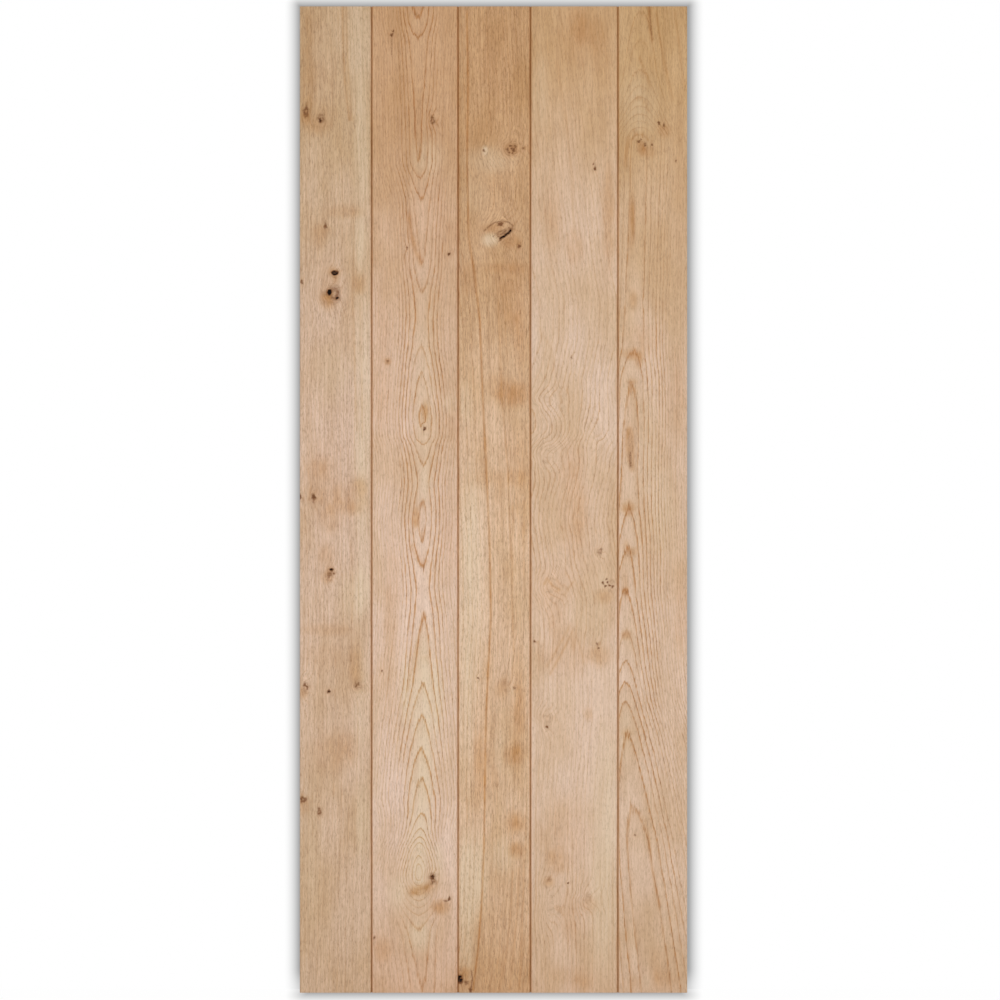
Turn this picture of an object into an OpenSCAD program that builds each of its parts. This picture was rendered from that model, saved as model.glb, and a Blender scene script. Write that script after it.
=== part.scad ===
// Ledged and braced door leaf in solid oak.
// Five tongued, grooved and V jointed boards of random width are held by three bevelled ledges
// and two notched braces, screwed on from the back, with the screw heads under oak plugs.
// X runs across the leaf, from the hinge side to the latch side as seen from the front.
// Y runs from the boarded front to the ledged back, and Z runs up from the bottom edge.

/* [Leaf] */
// Height of the leaf
leaf_h = 1981; // [1800:1:2200]
// Face width of the first board, at the hinge side
board_1_w = 144; // [120:1:190]
// Face width of the second board
board_2_w = 173; // [120:1:190]
// Face width of the third board
board_3_w = 145; // [120:1:190]
// Face width of the fourth board
board_4_w = 175; // [120:1:190]
// Face width of the fifth board, at the latch side
board_5_w = 139; // [120:1:190]

/* [Boards] */
// Thickness of every board
board_t = 20; // [17:0.5:28]
// Gap between neighbouring shoulders, for the timber to move
board_gap = 0.5; // [0.2:0.1:2]
// Size of the chamfer on each arris of a V joint
vee = 2.5; // [1:0.1:4]
// Size of the chamfer on the leaf's two outer edges
arris = 1; // [0.3:0.1:3]
// Thickness of a tongue
tongue_t = 6; // [4:0.5:8]
// Length of a tongue
tongue_l = 7; // [4:0.5:10]
// Size of the chamfer on a tongue's tip
tongue_tip = 0.8; // [0.3:0.1:1.5]
// Clearance on each face of a tongue
tongue_fit = 0.15; // [0.05:0.05:0.4]
// Clearance between a tongue's tip and the bottom of its groove
groove_spare = 1; // [0.3:0.1:2]

/* [Ledges] */
// Height of a ledge
ledge_h = 140; // [120:1:180]
// Thickness of a ledge
ledge_t = 22; // [18:0.5:30]
// Distance from the leaf's edge to a ledge's end, to clear the door stops
ledge_inset = 15; // [5:1:25]
// Size of the bevel round a ledge's back
ledge_bevel = 6; // [2:0.5:10]
// Distance from the leaf's top to the top ledge
top_ledge_drop = 150; // [80:1:220]
// Height of the middle ledge's centre line
middle_ledge_z = 980; // [900:1:1060]
// Distance from the leaf's bottom to the bottom ledge
bottom_ledge_rise = 150; // [80:1:220]

/* [Braces] */
// Width of a brace
brace_w = 110; // [80:1:130]
// Thickness of a brace
brace_t = 22; // [18:0.5:30]
// Size of the bevel along a brace's back
brace_bevel = 6; // [2:0.5:10]
// Distance from a ledge's end to the heel of its brace
brace_heel = 40; // [25:1:70]
// Depth of the notch that a brace's toe is let into
notch_depth = 30; // [15:1:40]
// Clearance round a toe in its notch
notch_fit = 0.2; // [0.1:0.05:0.5]

/* [Screws and plugs] */
// Diameter of a screw
screw_d = 4.5; // [3.5:0.1:5]
// Diameter of a screw's countersunk head
screw_head_d = 8.5; // [7:0.1:9.5]
// Diameter of a screw's blunted tip
screw_tip_d = 0.8; // [0.4:0.1:1.5]
// Length of a screw's tapered point
screw_point_l = 4.5; // [3:0.1:6]
// Length of each slot of the cross in a screw's head
cross_l = 4.2; // [3:0.1:5]
// Width of each slot of the cross in a screw's head
cross_w = 1; // [0.6:0.1:1.4]
// Depth of the cross in a screw's head
cross_depth = 1.6; // [0.8:0.1:2.2]
// Clearance all round a screw
screw_fit = 0.1; // [0.05:0.05:0.3]
// Timber left between a screw's tip and the front
tip_cover = 4; // [2:0.5:7]
// Distance from a board's edge to its nearest screws
screw_edge = 40; // [30:1:50]
// Timber left between a ledge's plugs and the notches
screw_land = 7; // [3:0.5:10]
// Rise of a brace's screws above and below its centre line
brace_stagger = 30; // [0:1:35]
// Diameter of a plug's face
plug_d = 10; // [9.8:0.1:12]
// Length of a plug
plug_l = 7.5; // [5:0.5:9]
// Amount by which a plug narrows to its inner end
plug_taper = 0.4; // [0:0.1:1]
// Clearance round a plug's face
plug_fit = 0.05; // [0.02:0.01:0.1]
// Clearance between a plug and the screw under it
plug_spare = 0.5; // [0.2:0.1:1]

/* [Hidden] */
$fn = 48;
overcut = 1;

BOARD_TONES = ["#c8a98b", "#ceac8f", "#c8a481", "#cfaf91", "#c9a888"];
FRAME_TONE = "#c9a782";
PLUG_TONE = "#b98f68";
STEEL_TONE = "#c9c6b8";

board_w = [board_1_w, board_2_w, board_3_w, board_4_w, board_5_w];
last_board = len(board_w) - 1;

// Total of the first count values of a list.
function total(list, count) = count == 0 ? 0 : list[count - 1] + total(list, count - 1);

leaf_w = total(board_w, len(board_w)) + last_board * board_gap;
leaf_d = board_t + max(ledge_t, brace_t);
front_y = -leaf_d / 2;
back_y = front_y + board_t;

// Left edge and centre line of a board's face.
function board_left(i) = total(board_w, i) + i * board_gap - leaf_w / 2;
function board_centre(i) = board_left(i) + board_w[i] / 2;

ledge_l = leaf_w - 2 * ledge_inset;
top_ledge_z = leaf_h - top_ledge_drop - ledge_h / 2;
bottom_ledge_z = bottom_ledge_rise + ledge_h / 2;

// A brace's heel lies on the lower ledge at the hinge side, and its head on the upper ledge at
// the latch side. Its slope makes its two long edges meet the ledges at those points.
heel_x = ledge_l / 2 - brace_heel;
function brace_low(z) = z + ledge_h / 2;
function brace_high(z) = z - ledge_h / 2;
function brace_rise(low_z, high_z) = brace_high(high_z) - brace_low(low_z);
function brace_middle(low_z, high_z) = (brace_high(high_z) + brace_low(low_z)) / 2;
function brace_slope(rise) = atan2(rise, 2 * heel_x) + asin(brace_w / norm([rise, 2 * heel_x]));

plug_seat = plug_l + plug_spare;
screw_row = ledge_h / 2 - notch_depth - plug_d / 2 - screw_land;
function screw_spread(i) = board_w[i] / 2 - screw_edge;
function screw_length(timber_t) = timber_t + board_t - plug_seat - tip_cover;

// Screw places as [x, z]: two staggered screws for each board that a ledge or a brace crosses.
function ledge_screws_at(z) = [
    for (i = [0 : last_board], side = [-1, 1])
        [board_centre(i) + side * screw_spread(i), z + side * screw_row]
];
function brace_screws_at(low_z, high_z) = [
    for (i = [1 : last_board - 1], side = [-1, 1])
        let (x = board_centre(i) + side * screw_spread(i))
        let (slope = brace_slope(brace_rise(low_z, high_z)))
            [x, brace_middle(low_z, high_z) + x * tan(slope) + side * brace_stagger]
];
ledge_places = [bottom_ledge_z, middle_ledge_z, top_ledge_z];
brace_places = [[bottom_ledge_z, middle_ledge_z], [middle_ledge_z, top_ledge_z]];

// Outline of a board's hinge side edge, from back to front, as [x, y] from the face's corner.
function plain_left() = [[arris, board_t], [0, board_t - arris], [0, arris], [arris, 0]];
function grooved_left() =
    let (half = tongue_t / 2 + tongue_fit)
    let (depth = tongue_l - board_gap + groove_spare)
    [
        [vee, board_t], [0, board_t - vee],
        [0, board_t / 2 + half], [depth, board_t / 2 + half],
        [depth, board_t / 2 - half], [0, board_t / 2 - half],
        [0, vee], [vee, 0]
    ];

// Outline of a board's latch side edge, from front to back, as [x, y] from the face's corner.
function plain_right() = [[-arris, 0], [0, arris], [0, board_t - arris], [-arris, board_t]];
function tongued_right() =
    let (half = tongue_t / 2)
    [
        [-vee, 0], [0, vee],
        [0, board_t / 2 - half], [tongue_l - tongue_tip, board_t / 2 - half],
        [tongue_l, board_t / 2 - half + tongue_tip], [tongue_l, board_t / 2 + half - tongue_tip],
        [tongue_l - tongue_tip, board_t / 2 + half], [0, board_t / 2 + half],
        [0, board_t - vee], [-vee, board_t]
    ];

module board_section(i) {
    left = i == 0 ? plain_left() : grooved_left();
    right = i == last_board ? plain_right() : tongued_right();
    polygon(concat(left, [for (p = right) p + [board_w[i], 0]]));
}

// Puts children at each [x, z] place on the back of timber that stands timber_t proud of the
// boards, with their +Z pointing into the timber.
module from_back(places, timber_t) {
    for (p = places)
        translate([p.x, back_y + timber_t, p.y])
            rotate([90, 0, 0])
                children();
}

// Profile of a screw and of its hole as [radius, depth], grown by a clearance.
module screw_profile(timber_t, grow = 0) {
    head_r = screw_head_d / 2;
    shank_r = screw_d / 2;
    end = plug_seat + screw_length(timber_t);
    polygon([
        [0, plug_seat], [head_r + grow, plug_seat],
        [shank_r + grow, plug_seat + head_r - shank_r],
        [shank_r + grow, end - screw_point_l],
        [screw_tip_d / 2 + grow, end + grow], [0, end + grow]
    ]);
}

module screw_hole(timber_t) {
    rotate_extrude() screw_profile(timber_t, screw_fit);
    translate([0, 0, -overcut]) cylinder(d = plug_d + 2 * plug_fit, h = plug_seat + overcut);
}

module screw(timber_t) {
    difference() {
        rotate_extrude() screw_profile(timber_t);
        for (turn = [0, 90])
            rotate(turn)
                translate([-cross_l / 2, -cross_w / 2, plug_seat - overcut])
                    cube([cross_l, cross_w, cross_depth + overcut]);
    }
}

module plug() {
    cylinder(d1 = plug_d, d2 = plug_d - plug_taper, h = plug_l);
}

module board(i) {
    color(BOARD_TONES[i])
        difference() {
            translate([board_left(i), front_y, 0])
                linear_extrude(leaf_h) board_section(i);
            for (z = ledge_places)
                from_back(near_board(ledge_screws_at(z), i), ledge_t) screw_hole(ledge_t);
            for (b = brace_places)
                from_back(near_board(brace_screws_at(b[0], b[1]), i), brace_t) screw_hole(brace_t);
        }
}

// The screw places that lie on one board.
function near_board(places, i) = [
    for (p = places) if (abs(p.x - board_centre(i)) < board_w[i] / 2) p
];

// Timber bar of length l along X and height h along Z, with its back bevelled along the two long
// edges, and at its ends too where end_bevel is above zero.
module bevelled_bar(l, h, t, bevel, end_bevel) {
    intersection() {
        rotate([90, 0, 90])
            translate([0, 0, -l / 2])
                linear_extrude(l)
                    polygon([
                        [0, -h / 2], [t - bevel, -h / 2], [t, bevel - h / 2],
                        [t, h / 2 - bevel], [t - bevel, h / 2], [0, h / 2]
                    ]);
        translate([0, 0, -h / 2])
            linear_extrude(h)
                polygon([
                    [-l / 2, 0], [l / 2, 0], [l / 2, t - end_bevel], [l / 2 - end_bevel, t],
                    [end_bevel - l / 2, t], [-l / 2, t - end_bevel]
                ]);
    }
}

// Outline of a brace in X and Z about its middle. Each end has a thrust face square to the brace,
// and a toe that runs back to the ledge's edge. The second end is the first turned half round.
function brace_outline(rise, grow = 0) =
    let (slope = brace_slope(rise))
    let (heel = [-heel_x - grow, -rise / 2])
    let (thrust = (notch_depth + grow) / cos(slope))
    let (toe = heel + thrust * [sin(slope), -cos(slope)])
    let (root = [-heel_x + brace_w / sin(slope) + grow, -rise / 2])
    [heel, toe, root, -heel, -toe, -root];

module brace_prism(low_z, high_z, timber_t, grow = 0) {
    translate([0, back_y, brace_middle(low_z, high_z)])
        rotate([90, 0, 0])
            mirror([0, 0, 1])
                linear_extrude(timber_t)
                    polygon(brace_outline(brace_rise(low_z, high_z), grow));
}

module brace(low_z, high_z) {
    rise = brace_rise(low_z, high_z);
    color(FRAME_TONE)
        difference() {
            intersection() {
                brace_prism(low_z, high_z, brace_t);
                translate([0, back_y, brace_middle(low_z, high_z)])
                    rotate([0, -brace_slope(rise), 0])
                        bevelled_bar(2 * norm([rise, 2 * heel_x]), brace_w, brace_t, brace_bevel, 0);
            }
            from_back(brace_screws_at(low_z, high_z), brace_t) screw_hole(brace_t);
        }
}

module ledge(z) {
    color(FRAME_TONE)
        difference() {
            translate([0, back_y, z]) bevelled_bar(ledge_l, ledge_h, ledge_t, ledge_bevel, ledge_bevel);
            for (b = brace_places)
                if (z == b[0] || z == b[1])
                    translate([0, -overcut, 0])
                        brace_prism(b[0], b[1], ledge_t + 2 * overcut, notch_fit);
            from_back(ledge_screws_at(z), ledge_t) screw_hole(ledge_t);
        }
}

module screws(places, timber_t) {
    color(STEEL_TONE) from_back(places, timber_t) screw(timber_t);
}

module plugs(places, timber_t) {
    color(PLUG_TONE) from_back(places, timber_t) plug();
}

module ledge_screws(z) { screws(ledge_screws_at(z), ledge_t); }
module ledge_plugs(z) { plugs(ledge_screws_at(z), ledge_t); }
module brace_screws(b) { screws(brace_screws_at(b[0], b[1]), brace_t); }
module brace_plugs(b) { plugs(brace_screws_at(b[0], b[1]), brace_t); }

board(0);  // board_1
board(1);  // board_2
board(2);  // board_3
board(3);  // board_4
board(4);  // board_5
ledge(top_ledge_z);  // top_ledge
ledge(middle_ledge_z);  // middle_ledge
ledge(bottom_ledge_z);  // bottom_ledge
brace(middle_ledge_z, top_ledge_z);  // upper_brace
brace(bottom_ledge_z, middle_ledge_z);  // lower_brace
ledge_screws(top_ledge_z);  // top_ledge_screws
ledge_screws(middle_ledge_z);  // middle_ledge_screws
ledge_screws(bottom_ledge_z);  // bottom_ledge_screws
brace_screws(brace_places[1]);  // upper_brace_screws
brace_screws(brace_places[0]);  // lower_brace_screws
ledge_plugs(top_ledge_z);  // top_ledge_plugs
ledge_plugs(middle_ledge_z);  // middle_ledge_plugs
ledge_plugs(bottom_ledge_z);  // bottom_ledge_plugs
brace_plugs(brace_places[1]);  // upper_brace_plugs
brace_plugs(brace_places[0]);  // lower_brace_plugs
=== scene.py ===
import math
from typing import NamedTuple

import bpy
import numpy as np
from bpy.props import FloatProperty, FloatVectorProperty, PointerProperty
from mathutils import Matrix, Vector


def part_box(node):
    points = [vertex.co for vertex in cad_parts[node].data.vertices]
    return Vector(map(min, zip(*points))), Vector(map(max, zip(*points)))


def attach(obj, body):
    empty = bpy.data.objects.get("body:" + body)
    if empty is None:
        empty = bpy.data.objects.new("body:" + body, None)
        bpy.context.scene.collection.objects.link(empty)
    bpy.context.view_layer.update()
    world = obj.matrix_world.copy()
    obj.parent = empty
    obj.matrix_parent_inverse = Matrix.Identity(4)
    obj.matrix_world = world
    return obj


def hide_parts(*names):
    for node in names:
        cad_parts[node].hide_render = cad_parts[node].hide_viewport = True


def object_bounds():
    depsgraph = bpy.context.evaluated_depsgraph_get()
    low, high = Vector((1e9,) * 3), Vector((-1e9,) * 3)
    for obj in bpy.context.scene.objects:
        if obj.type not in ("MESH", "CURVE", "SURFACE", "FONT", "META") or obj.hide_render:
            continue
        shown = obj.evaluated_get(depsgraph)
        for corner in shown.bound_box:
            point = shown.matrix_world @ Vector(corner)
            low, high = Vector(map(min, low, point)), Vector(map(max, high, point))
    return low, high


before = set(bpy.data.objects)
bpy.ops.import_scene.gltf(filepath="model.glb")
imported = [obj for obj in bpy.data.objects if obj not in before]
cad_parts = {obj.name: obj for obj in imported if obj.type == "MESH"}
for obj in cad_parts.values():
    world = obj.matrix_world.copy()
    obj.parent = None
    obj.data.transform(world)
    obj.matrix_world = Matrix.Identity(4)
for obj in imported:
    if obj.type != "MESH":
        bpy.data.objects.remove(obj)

bl_info = {
    "name": "Ledged and Braced Oak Door",
    "version": (1, 0, 0),
    "blender": (4, 5, 0),
    "location": "View3D > Sidebar > Oak Door",
    "description": "Dresses a ledged and braced door leaf in figured oak on a plain stage",
    "category": "Add Mesh",
}

CAD_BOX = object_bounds()
BODY = "root"

BOARDS = ("board_1", "board_2", "board_3", "board_4", "board_5")
LEDGES = ("bottom_ledge", "middle_ledge", "top_ledge")
BRACES = {
    "lower_brace": ("bottom_ledge", "middle_ledge"),
    "upper_brace": ("middle_ledge", "top_ledge"),
}

# Edges of the leaf in the photograph, and the photograph's side, in its pixels.
PHOTO_LEFT, PHOTO_RIGHT = 299.9, 687.2
PHOTO_TOP, PHOTO_BOTTOM = 6.3, 992.8
PHOTO_SIDE = 1000
PHOTO_MIDDLE = PHOTO_SIDE / 2

# Metres to a photo pixel on the boarded front. All figure in the wood is drawn in this unit.
PIXEL = (CAD_BOX[1].z - CAD_BOX[0].z) / (PHOTO_BOTTOM - PHOTO_TOP)
MM = 0.001


def srgb(red, green, blue):
    """Linear colour of an 8 bit screen colour, by the sRGB curve."""
    screen = np.array((red, green, blue)) / 255
    return tuple(float(c) for c in ((screen + 0.055) / 1.055) ** 2.4)


# Figure of the wood

class Knot(NamedTuple):
    """A knot at x, y with its half width and half height: how dark it is, how much of that its middle
    loses, how deep its pit is in millimetres, how many rings it bends, and how many times its own
    size that bend reaches."""
    x: float
    y: float
    wide: float
    tall: float
    dark: float = 0.7
    hollow: float = 0.0
    pit: float = 0.0
    bend: float = 0.6
    reach: float = 2.0


class Patch(NamedTuple):
    """A soft oval of colour at x, y with its half width, half height and strength."""
    x: float
    y: float
    wide: float
    tall: float
    amount: float


class Stroke(NamedTuple):
    """A line through (x, y) points, with its half width and strength. A dark stroke is as dark as a
    knot, and any other stains the wood."""
    path: tuple
    wide: float
    amount: float
    dark: bool = False


class Figure(NamedTuple):
    """How the rings of one timber meet its face, in photo pixels. heart is the line of (y, x) that
    the rings close about, and crest the ring number met on that line, as (y, number). The rings lie
    ring pixels apart, about a pith that is some pixels under the face, as (y, depth). Each pixel from
    the heart adds peak rings, and the arches are blunt within flat pixels of it, as (y, pixels). line
    is the strength of the ring lines, as (y, strength); it falls off past span pixels from the heart.
    fibre is the strength of the fine grain, and warmth runs from the pale tone at 0 to the warm one
    at 1, as (y, warmth); on the boards it also paints shade, darker towards their tops and feet.
    Knots, stains, pale patches and strokes lie on top, listed in order of y."""
    heart: tuple
    crest: tuple
    ring: float
    pith: tuple
    line: tuple = ((0, 0.6),)
    peak: float = 0.0
    flat: tuple = ((0, 0),)
    span: float = 400.0
    fibre: float = 1.0
    warmth_and_shade: tuple = ((0, 0.3),)
    knots: tuple = ()
    stains: tuple = ()
    pales: tuple = ()
    strokes: tuple = ()


# The boards' figure, read from the photograph in its pixels.
# Each board's warmth is high near its top, lowest in the middle and higher again at its foot: besides
# the wood's own tone, this is painted shade, darker towards the leaf's top and foot.
BOARD_FIGURES = {
    "board_1": Figure(
        heart=((0, 258), (215, 266), (420, 262), (640, 266), (990, 261)),
        crest=((0, 0), (300, 0.8), (620, 0.2), (990, 1)),
        ring=3.7, pith=((0, 24),), line=((0, 0.25),), fibre=1.4,
        warmth_and_shade=((150, 1), (350, 0.1), (430, 0), (1000, 0.7)),
        knots=(
            Knot(306.1, 111.5, 2.6, 3.6, 1.0, hollow=0.9), Knot(305.6, 117, 1.3, 2.0, 0.4),
            Knot(321.3, 117.8, 3.0, 4.0, 0.6, hollow=0.7, bend=1.4),
            Knot(320.3, 120.4, 1.4, 2.4, 0.75), Knot(355, 122, 2.0, 3.0, 0.2),
            Knot(325.5, 226, 1.8, 2.5, 0.6), Knot(334.8, 272.8, 3.1, 2.5, 1.5, pit=2.5, bend=1.6),
            Knot(301.8, 281.8, 1.4, 2.5, 0.5), Knot(334.5, 288, 1.8, 0.9, 0.4),
            Knot(329.4, 292.2, 2.1, 3.0, 1.4, pit=2.0), Knot(338.2, 292.4, 1.4, 1.7, 0.5),
            Knot(333.5, 293.5, 6.0, 6.6, 0.7, hollow=0.8, bend=2.5),
            Knot(336.9, 297.8, 1.7, 1.3, 1.2), Knot(300.3, 497, 1.4, 2.2, 0.6),
            Knot(313.8, 497, 2.0, 2.4, 0.8, hollow=0.2), Knot(313.2, 501.5, 1.6, 2.6, 0.3),
            Knot(331.4, 569.6, 2.2, 1.4, 0.9, pit=0.8), Knot(333.8, 573.6, 0.9, 1.3, 0.5),
            Knot(329.6, 574.3, 2.6, 3.6, 0.45, bend=1.8), Knot(358.4, 684.2, 1.2, 2.4, 0.45),
            Knot(304.8, 684.5, 1.5, 2.4, 0.5),
            Knot(357.5, 685, 4.2, 4.2, 0.4, hollow=0.7, bend=2.2),
            Knot(356.2, 685.4, 1.4, 2.1, 0.45),
            Knot(305.5, 687, 3.6, 4.8, 0.4, hollow=0.7, bend=2.2),
            Knot(307.2, 687.4, 1.3, 2.0, 0.55), Knot(328.9, 691.3, 1.5, 1.9, 0.7),
            Knot(302.9, 799.6, 2.3, 2.9, 1.05, hollow=0.85),
            Knot(319.2, 811.2, 1.8, 2.7, 0.95, hollow=0.85, bend=1.4)),
        stains=(
            Patch(312, 28, 12, 24, 0.25), Patch(308, 80, 8, 50, 0.3), Patch(322, 90, 14, 40, 0.25),
            Patch(305, 118, 4, 7, 0.5), Patch(318, 127, 10, 7, 0.45), Patch(345, 212, 17, 6, 0.4),
            Patch(320, 235, 8, 12, 0.45), Patch(335.5, 279, 3, 4, 0.5), Patch(328, 280, 9, 22, 0.3),
            Patch(360, 284, 6, 10, 0.55), Patch(327, 301, 8, 8, 0.5), Patch(318, 470, 10, 12, 0.4),
            Patch(326, 470, 14, 30, 0.25), Patch(360, 487, 7, 10, 0.5),
            Patch(338, 500, 24, 16, 0.45), Patch(351, 506, 18, 8, 0.3),
            Patch(329, 522, 10, 12, 0.4), Patch(326, 556, 8, 14, 0.4), Patch(327.5, 577, 6, 6, 0.6),
            Patch(326, 630, 22, 6, 0.4), Patch(325, 655, 20, 14, 0.2), Patch(356, 666, 6, 24, 0.5),
            Patch(303, 692, 5, 6, 0.4), Patch(348, 748, 10, 15, 0.3), Patch(333, 753, 18, 20, 0.36),
            Patch(304, 806, 6, 8, 0.5)),
        pales=(
            Patch(357, 62, 10, 62, 0.45), Patch(361, 150, 7, 50, 0.3), Patch(362, 160, 6, 60, 0.35),
            Patch(359, 240, 7, 22, 0.6), Patch(335, 372, 18, 24, 0.3),
            Patch(363, 420, 8, 130, 0.75), Patch(362, 588, 6, 22, 0.6),
            Patch(353, 597, 14, 22, 0.5), Patch(360, 700, 6, 60, 0.35), Patch(363, 822, 6, 36, 0.6),
            Patch(310, 850, 10, 70, 0.3)),
        strokes=(
            Stroke(((342.8, 7), (343.6, 55), (346, 92), (349.5, 120)), 1.2, 0.75),
            Stroke(((346.6, 7), (347.6, 55), (350, 100), (352, 120)), 1.1, 0.5),
            Stroke(((353, 205), (354, 245), (352.5, 300), (355, 370), (357, 430)), 1.1, 0.35),
            Stroke(((360, 300), (361.5, 370), (362.5, 440)), 1.1, 0.3),
            Stroke(((322, 303), (331, 302)), 4.5, 0.15, dark=True),
            Stroke(((301, 455), (308, 470), (311, 485), (309, 500)), 0.9, 0.3),
            Stroke(((351, 540), (353, 590), (352, 622)), 1.1, 0.35),
            # Painted shade: a dark line down the leaf's left edge, low on the first board.
            Stroke(((300, 620), (300, 986)), 1.2, 0.15, dark=True))),
    "board_2": Figure(
        heart=((0, 418), (164, 419), (199, 422), (290, 422), (347, 421), (465, 423.5), (520, 422),
               (567, 422.5), (613, 424), (685, 423), (748, 421), (813, 422.3), (829, 420.4),
               (848, 419), (872, 419.5), (909, 418.6), (929, 418.6), (985, 422.5)),
        crest=((-20, 6.2), (20, 7), (37, 8), (60, 8.4), (100, 8.6), (140, 8.8), (164, 9), (178, 10),
               (199, 11), (230, 11.5), (265, 12), (292, 13), (318, 13.4), (347, 13), (372, 12),
               (405, 11), (418, 10.7), (437, 11), (444, 12), (465, 13), (483, 13.5), (501, 13),
               (520, 12.6), (542, 13), (567, 14), (590, 14.4), (613, 14), (650, 13.5), (685, 13),
               (715, 12), (748, 11), (778, 10), (813, 9), (829, 8), (837, 7), (842.5, 6), (848, 5),
               (855, 4), (864, 2.9), (873, 2), (882, 2.9), (886, 4), (890, 5), (895, 6), (901, 7),
               (908, 8), (915, 9), (929, 10), (960, 10.6), (990, 11), (1010, 11.4)),
        ring=3.0,
        pith=((0, 16), (560, 16), (680, 28), (800, 28), (820, 16), (838, 7), (855, 4), (873, 3.5),
              (884, 7), (890, 12), (900, 26), (915, 42), (990, 42)),
        line=((0, 0.95), (300, 1.2), (360, 1.35), (415, 1.7), (465, 1.5), (630, 1.35), (660, 1.6),
              (800, 1.5), (840, 0.9), (870, 0.8), (886, 0.4), (912, 0.35), (932, 0.65), (990, 0.9)),
        peak=0.04, flat=((0, 5), (60, 5), (110, 0)), span=13, fibre=1.1,
        warmth_and_shade=((90, 1), (370, 0.3), (670, 0), (860, 0), (1000, 0.65)),
        knots=(
            Knot(393.3, 31, 1.0, 1.1, 0.6), Knot(391.7, 34.8, 1.2, 1.6, 0.75),
            Knot(432.5, 120.2, 2.3, 3.3, 0.85, hollow=0.8, bend=1.2), Knot(407, 248, 1.2, 1.4, 0.5),
            Knot(449, 254, 1.4, 1.4, 0.65), Knot(387.7, 361.4, 1.7, 1.9, 0.36),
            Knot(424.5, 428.8, 1.3, 1.7, 0.9), Knot(382, 671, 1.2, 1.2, 0.45),
            Knot(432.4, 877.2, 2.0, 2.4, 0.85, pit=1.5, bend=1.5),
            Knot(432.8, 878, 3.9, 4.6, 0.42, hollow=0.3), Knot(432.4, 882.2, 1.2, 1.8, 0.5),
            Knot(449.2, 898.8, 1.3, 2.1, 0.6), Knot(446, 901, 2.4, 1.0, 0.4),
            Knot(374.2, 937.6, 1.2, 1.6, 0.45)),
        stains=(
            Patch(450, 235, 8, 18, 0.3), Patch(387.7, 361.4, 3.2, 3.4, 0.7),
            Patch(381, 370, 9, 60, 0.3), Patch(425.5, 411, 3, 10, 0.9), Patch(453, 420, 5, 20, 0.3),
            Patch(415.8, 517.5, 3.4, 8.5, 1.3), Patch(450, 540, 8, 45, 0.3),
            Patch(393, 590, 8, 50, 0.3), Patch(426, 658, 5, 3, 0.3), Patch(386, 660, 12, 60, 0.2),
            Patch(420, 890, 13, 6, 0.5), Patch(440, 907, 9, 7, 0.75), Patch(382, 950, 9, 12, 0.5)),
        pales=(
            Patch(427, 158, 14, 16, 0.45), Patch(424, 385, 12, 95, 0.4), Patch(451, 404, 9, 8, 0.5),
            Patch(424, 483, 7, 14, 0.5), Patch(422, 690, 8, 50, 0.85), Patch(407, 692, 6, 30, 0.8),
            Patch(436, 695, 7, 30, 0.8), Patch(430, 710, 15, 55, 0.35),
            Patch(421, 790, 11, 60, 0.85), Patch(437, 862, 6, 18, 0.7),
            Patch(417, 870, 14, 42, 0.5), Patch(420.2, 872.5, 4.6, 9.5, 1.0),
            Patch(396, 893, 8, 16, 0.6), Patch(420, 936, 12, 14, 0.8)),
        strokes=(
            Stroke(((396.5, 26), (395, 48)), 0.9, 0.35),
            Stroke(((392, 35), (391.6, 44), (391.8, 55)), 0.9, 0.32, dark=True),
            Stroke(((409, 216), (412, 236), (416, 252), (421, 264)), 2.3, 0.8),
            Stroke(((404, 255), (410, 275), (418, 291)), 1.2, 0.4),
            Stroke(((422, 502), (424, 502), (420, 506)), 1.6, 0.5),
            Stroke(((421.5, 532), (423.5, 540)), 1.8, 0.45),
            Stroke(((412, 546), (416, 556), (420, 564), (424, 566), (427, 560)), 1.7, 0.55),
            Stroke(((424, 614), (424.5, 617)), 2.2, 0.65),
            Stroke(((422, 620), (419, 636), (415, 652), (411.5, 670), (407.5, 690)), 1.5, 0.5),
            Stroke(((424, 888.5), (431, 883.5)), 3.4, 0.17, dark=True),
            Stroke(((412, 893), (422, 889.5), (431, 883.5)), 3.8, 0.45),
            Stroke(((409, 894), (417, 891.5), (424, 888), (431, 883)), 4.0, 0.11, dark=True),
            Stroke(((411, 923), (415, 927.5), (420, 928.5), (422.5, 925)), 1.2, 0.5))),
    "board_3": Figure(
        heart=((0, 401.5), (200, 410.7), (240, 409.7), (270, 414.7), (320, 420.7), (400, 423.7),
               (480, 427.7), (550, 430.7), (620, 431.7), (670, 428.7), (720, 426.7), (850, 424.7),
               (900, 422.7), (950, 418.7), (990, 413.7)),
        crest=((0, 10), (990, 10)),
        ring=4.0, pith=((0, 24),), line=((0, 0.35),), fibre=1.5,
        warmth_and_shade=((130, 1), (520, 0), (820, 0.15), (1000, 0.8)),
        knots=(
            Knot(510.4, 145.9, 1.4, 1.3, 0.5), Knot(515.3, 146.6, 1.3, 1.7, 0.5),
            Knot(523.2, 148, 1.2, 1.3, 0.45), Knot(511.4, 148.6, 1.2, 1.2, 0.5),
            Knot(507.4, 149.2, 1.7, 1.5, 0.55),
            Knot(511.3, 149.4, 6.2, 5.4, 0.25, hollow=0.3, bend=3),
            Knot(513.7, 150.2, 1.8, 1.6, 0.58), Knot(483.6, 150.4, 1.1, 1.4, 0.6),
            Knot(485, 151, 3.5, 4.5, 0.15, hollow=0.8, bend=1.5),
            Knot(508.9, 152.4, 1.6, 1.0, 0.48), Knot(512.4, 153, 1.3, 0.9, 0.45),
            Knot(500.6, 224, 2.9, 1.5, 0.75),
            Knot(501, 230, 12, 9, 0.1, hollow=0.4, bend=4, reach=1.2),
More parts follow.
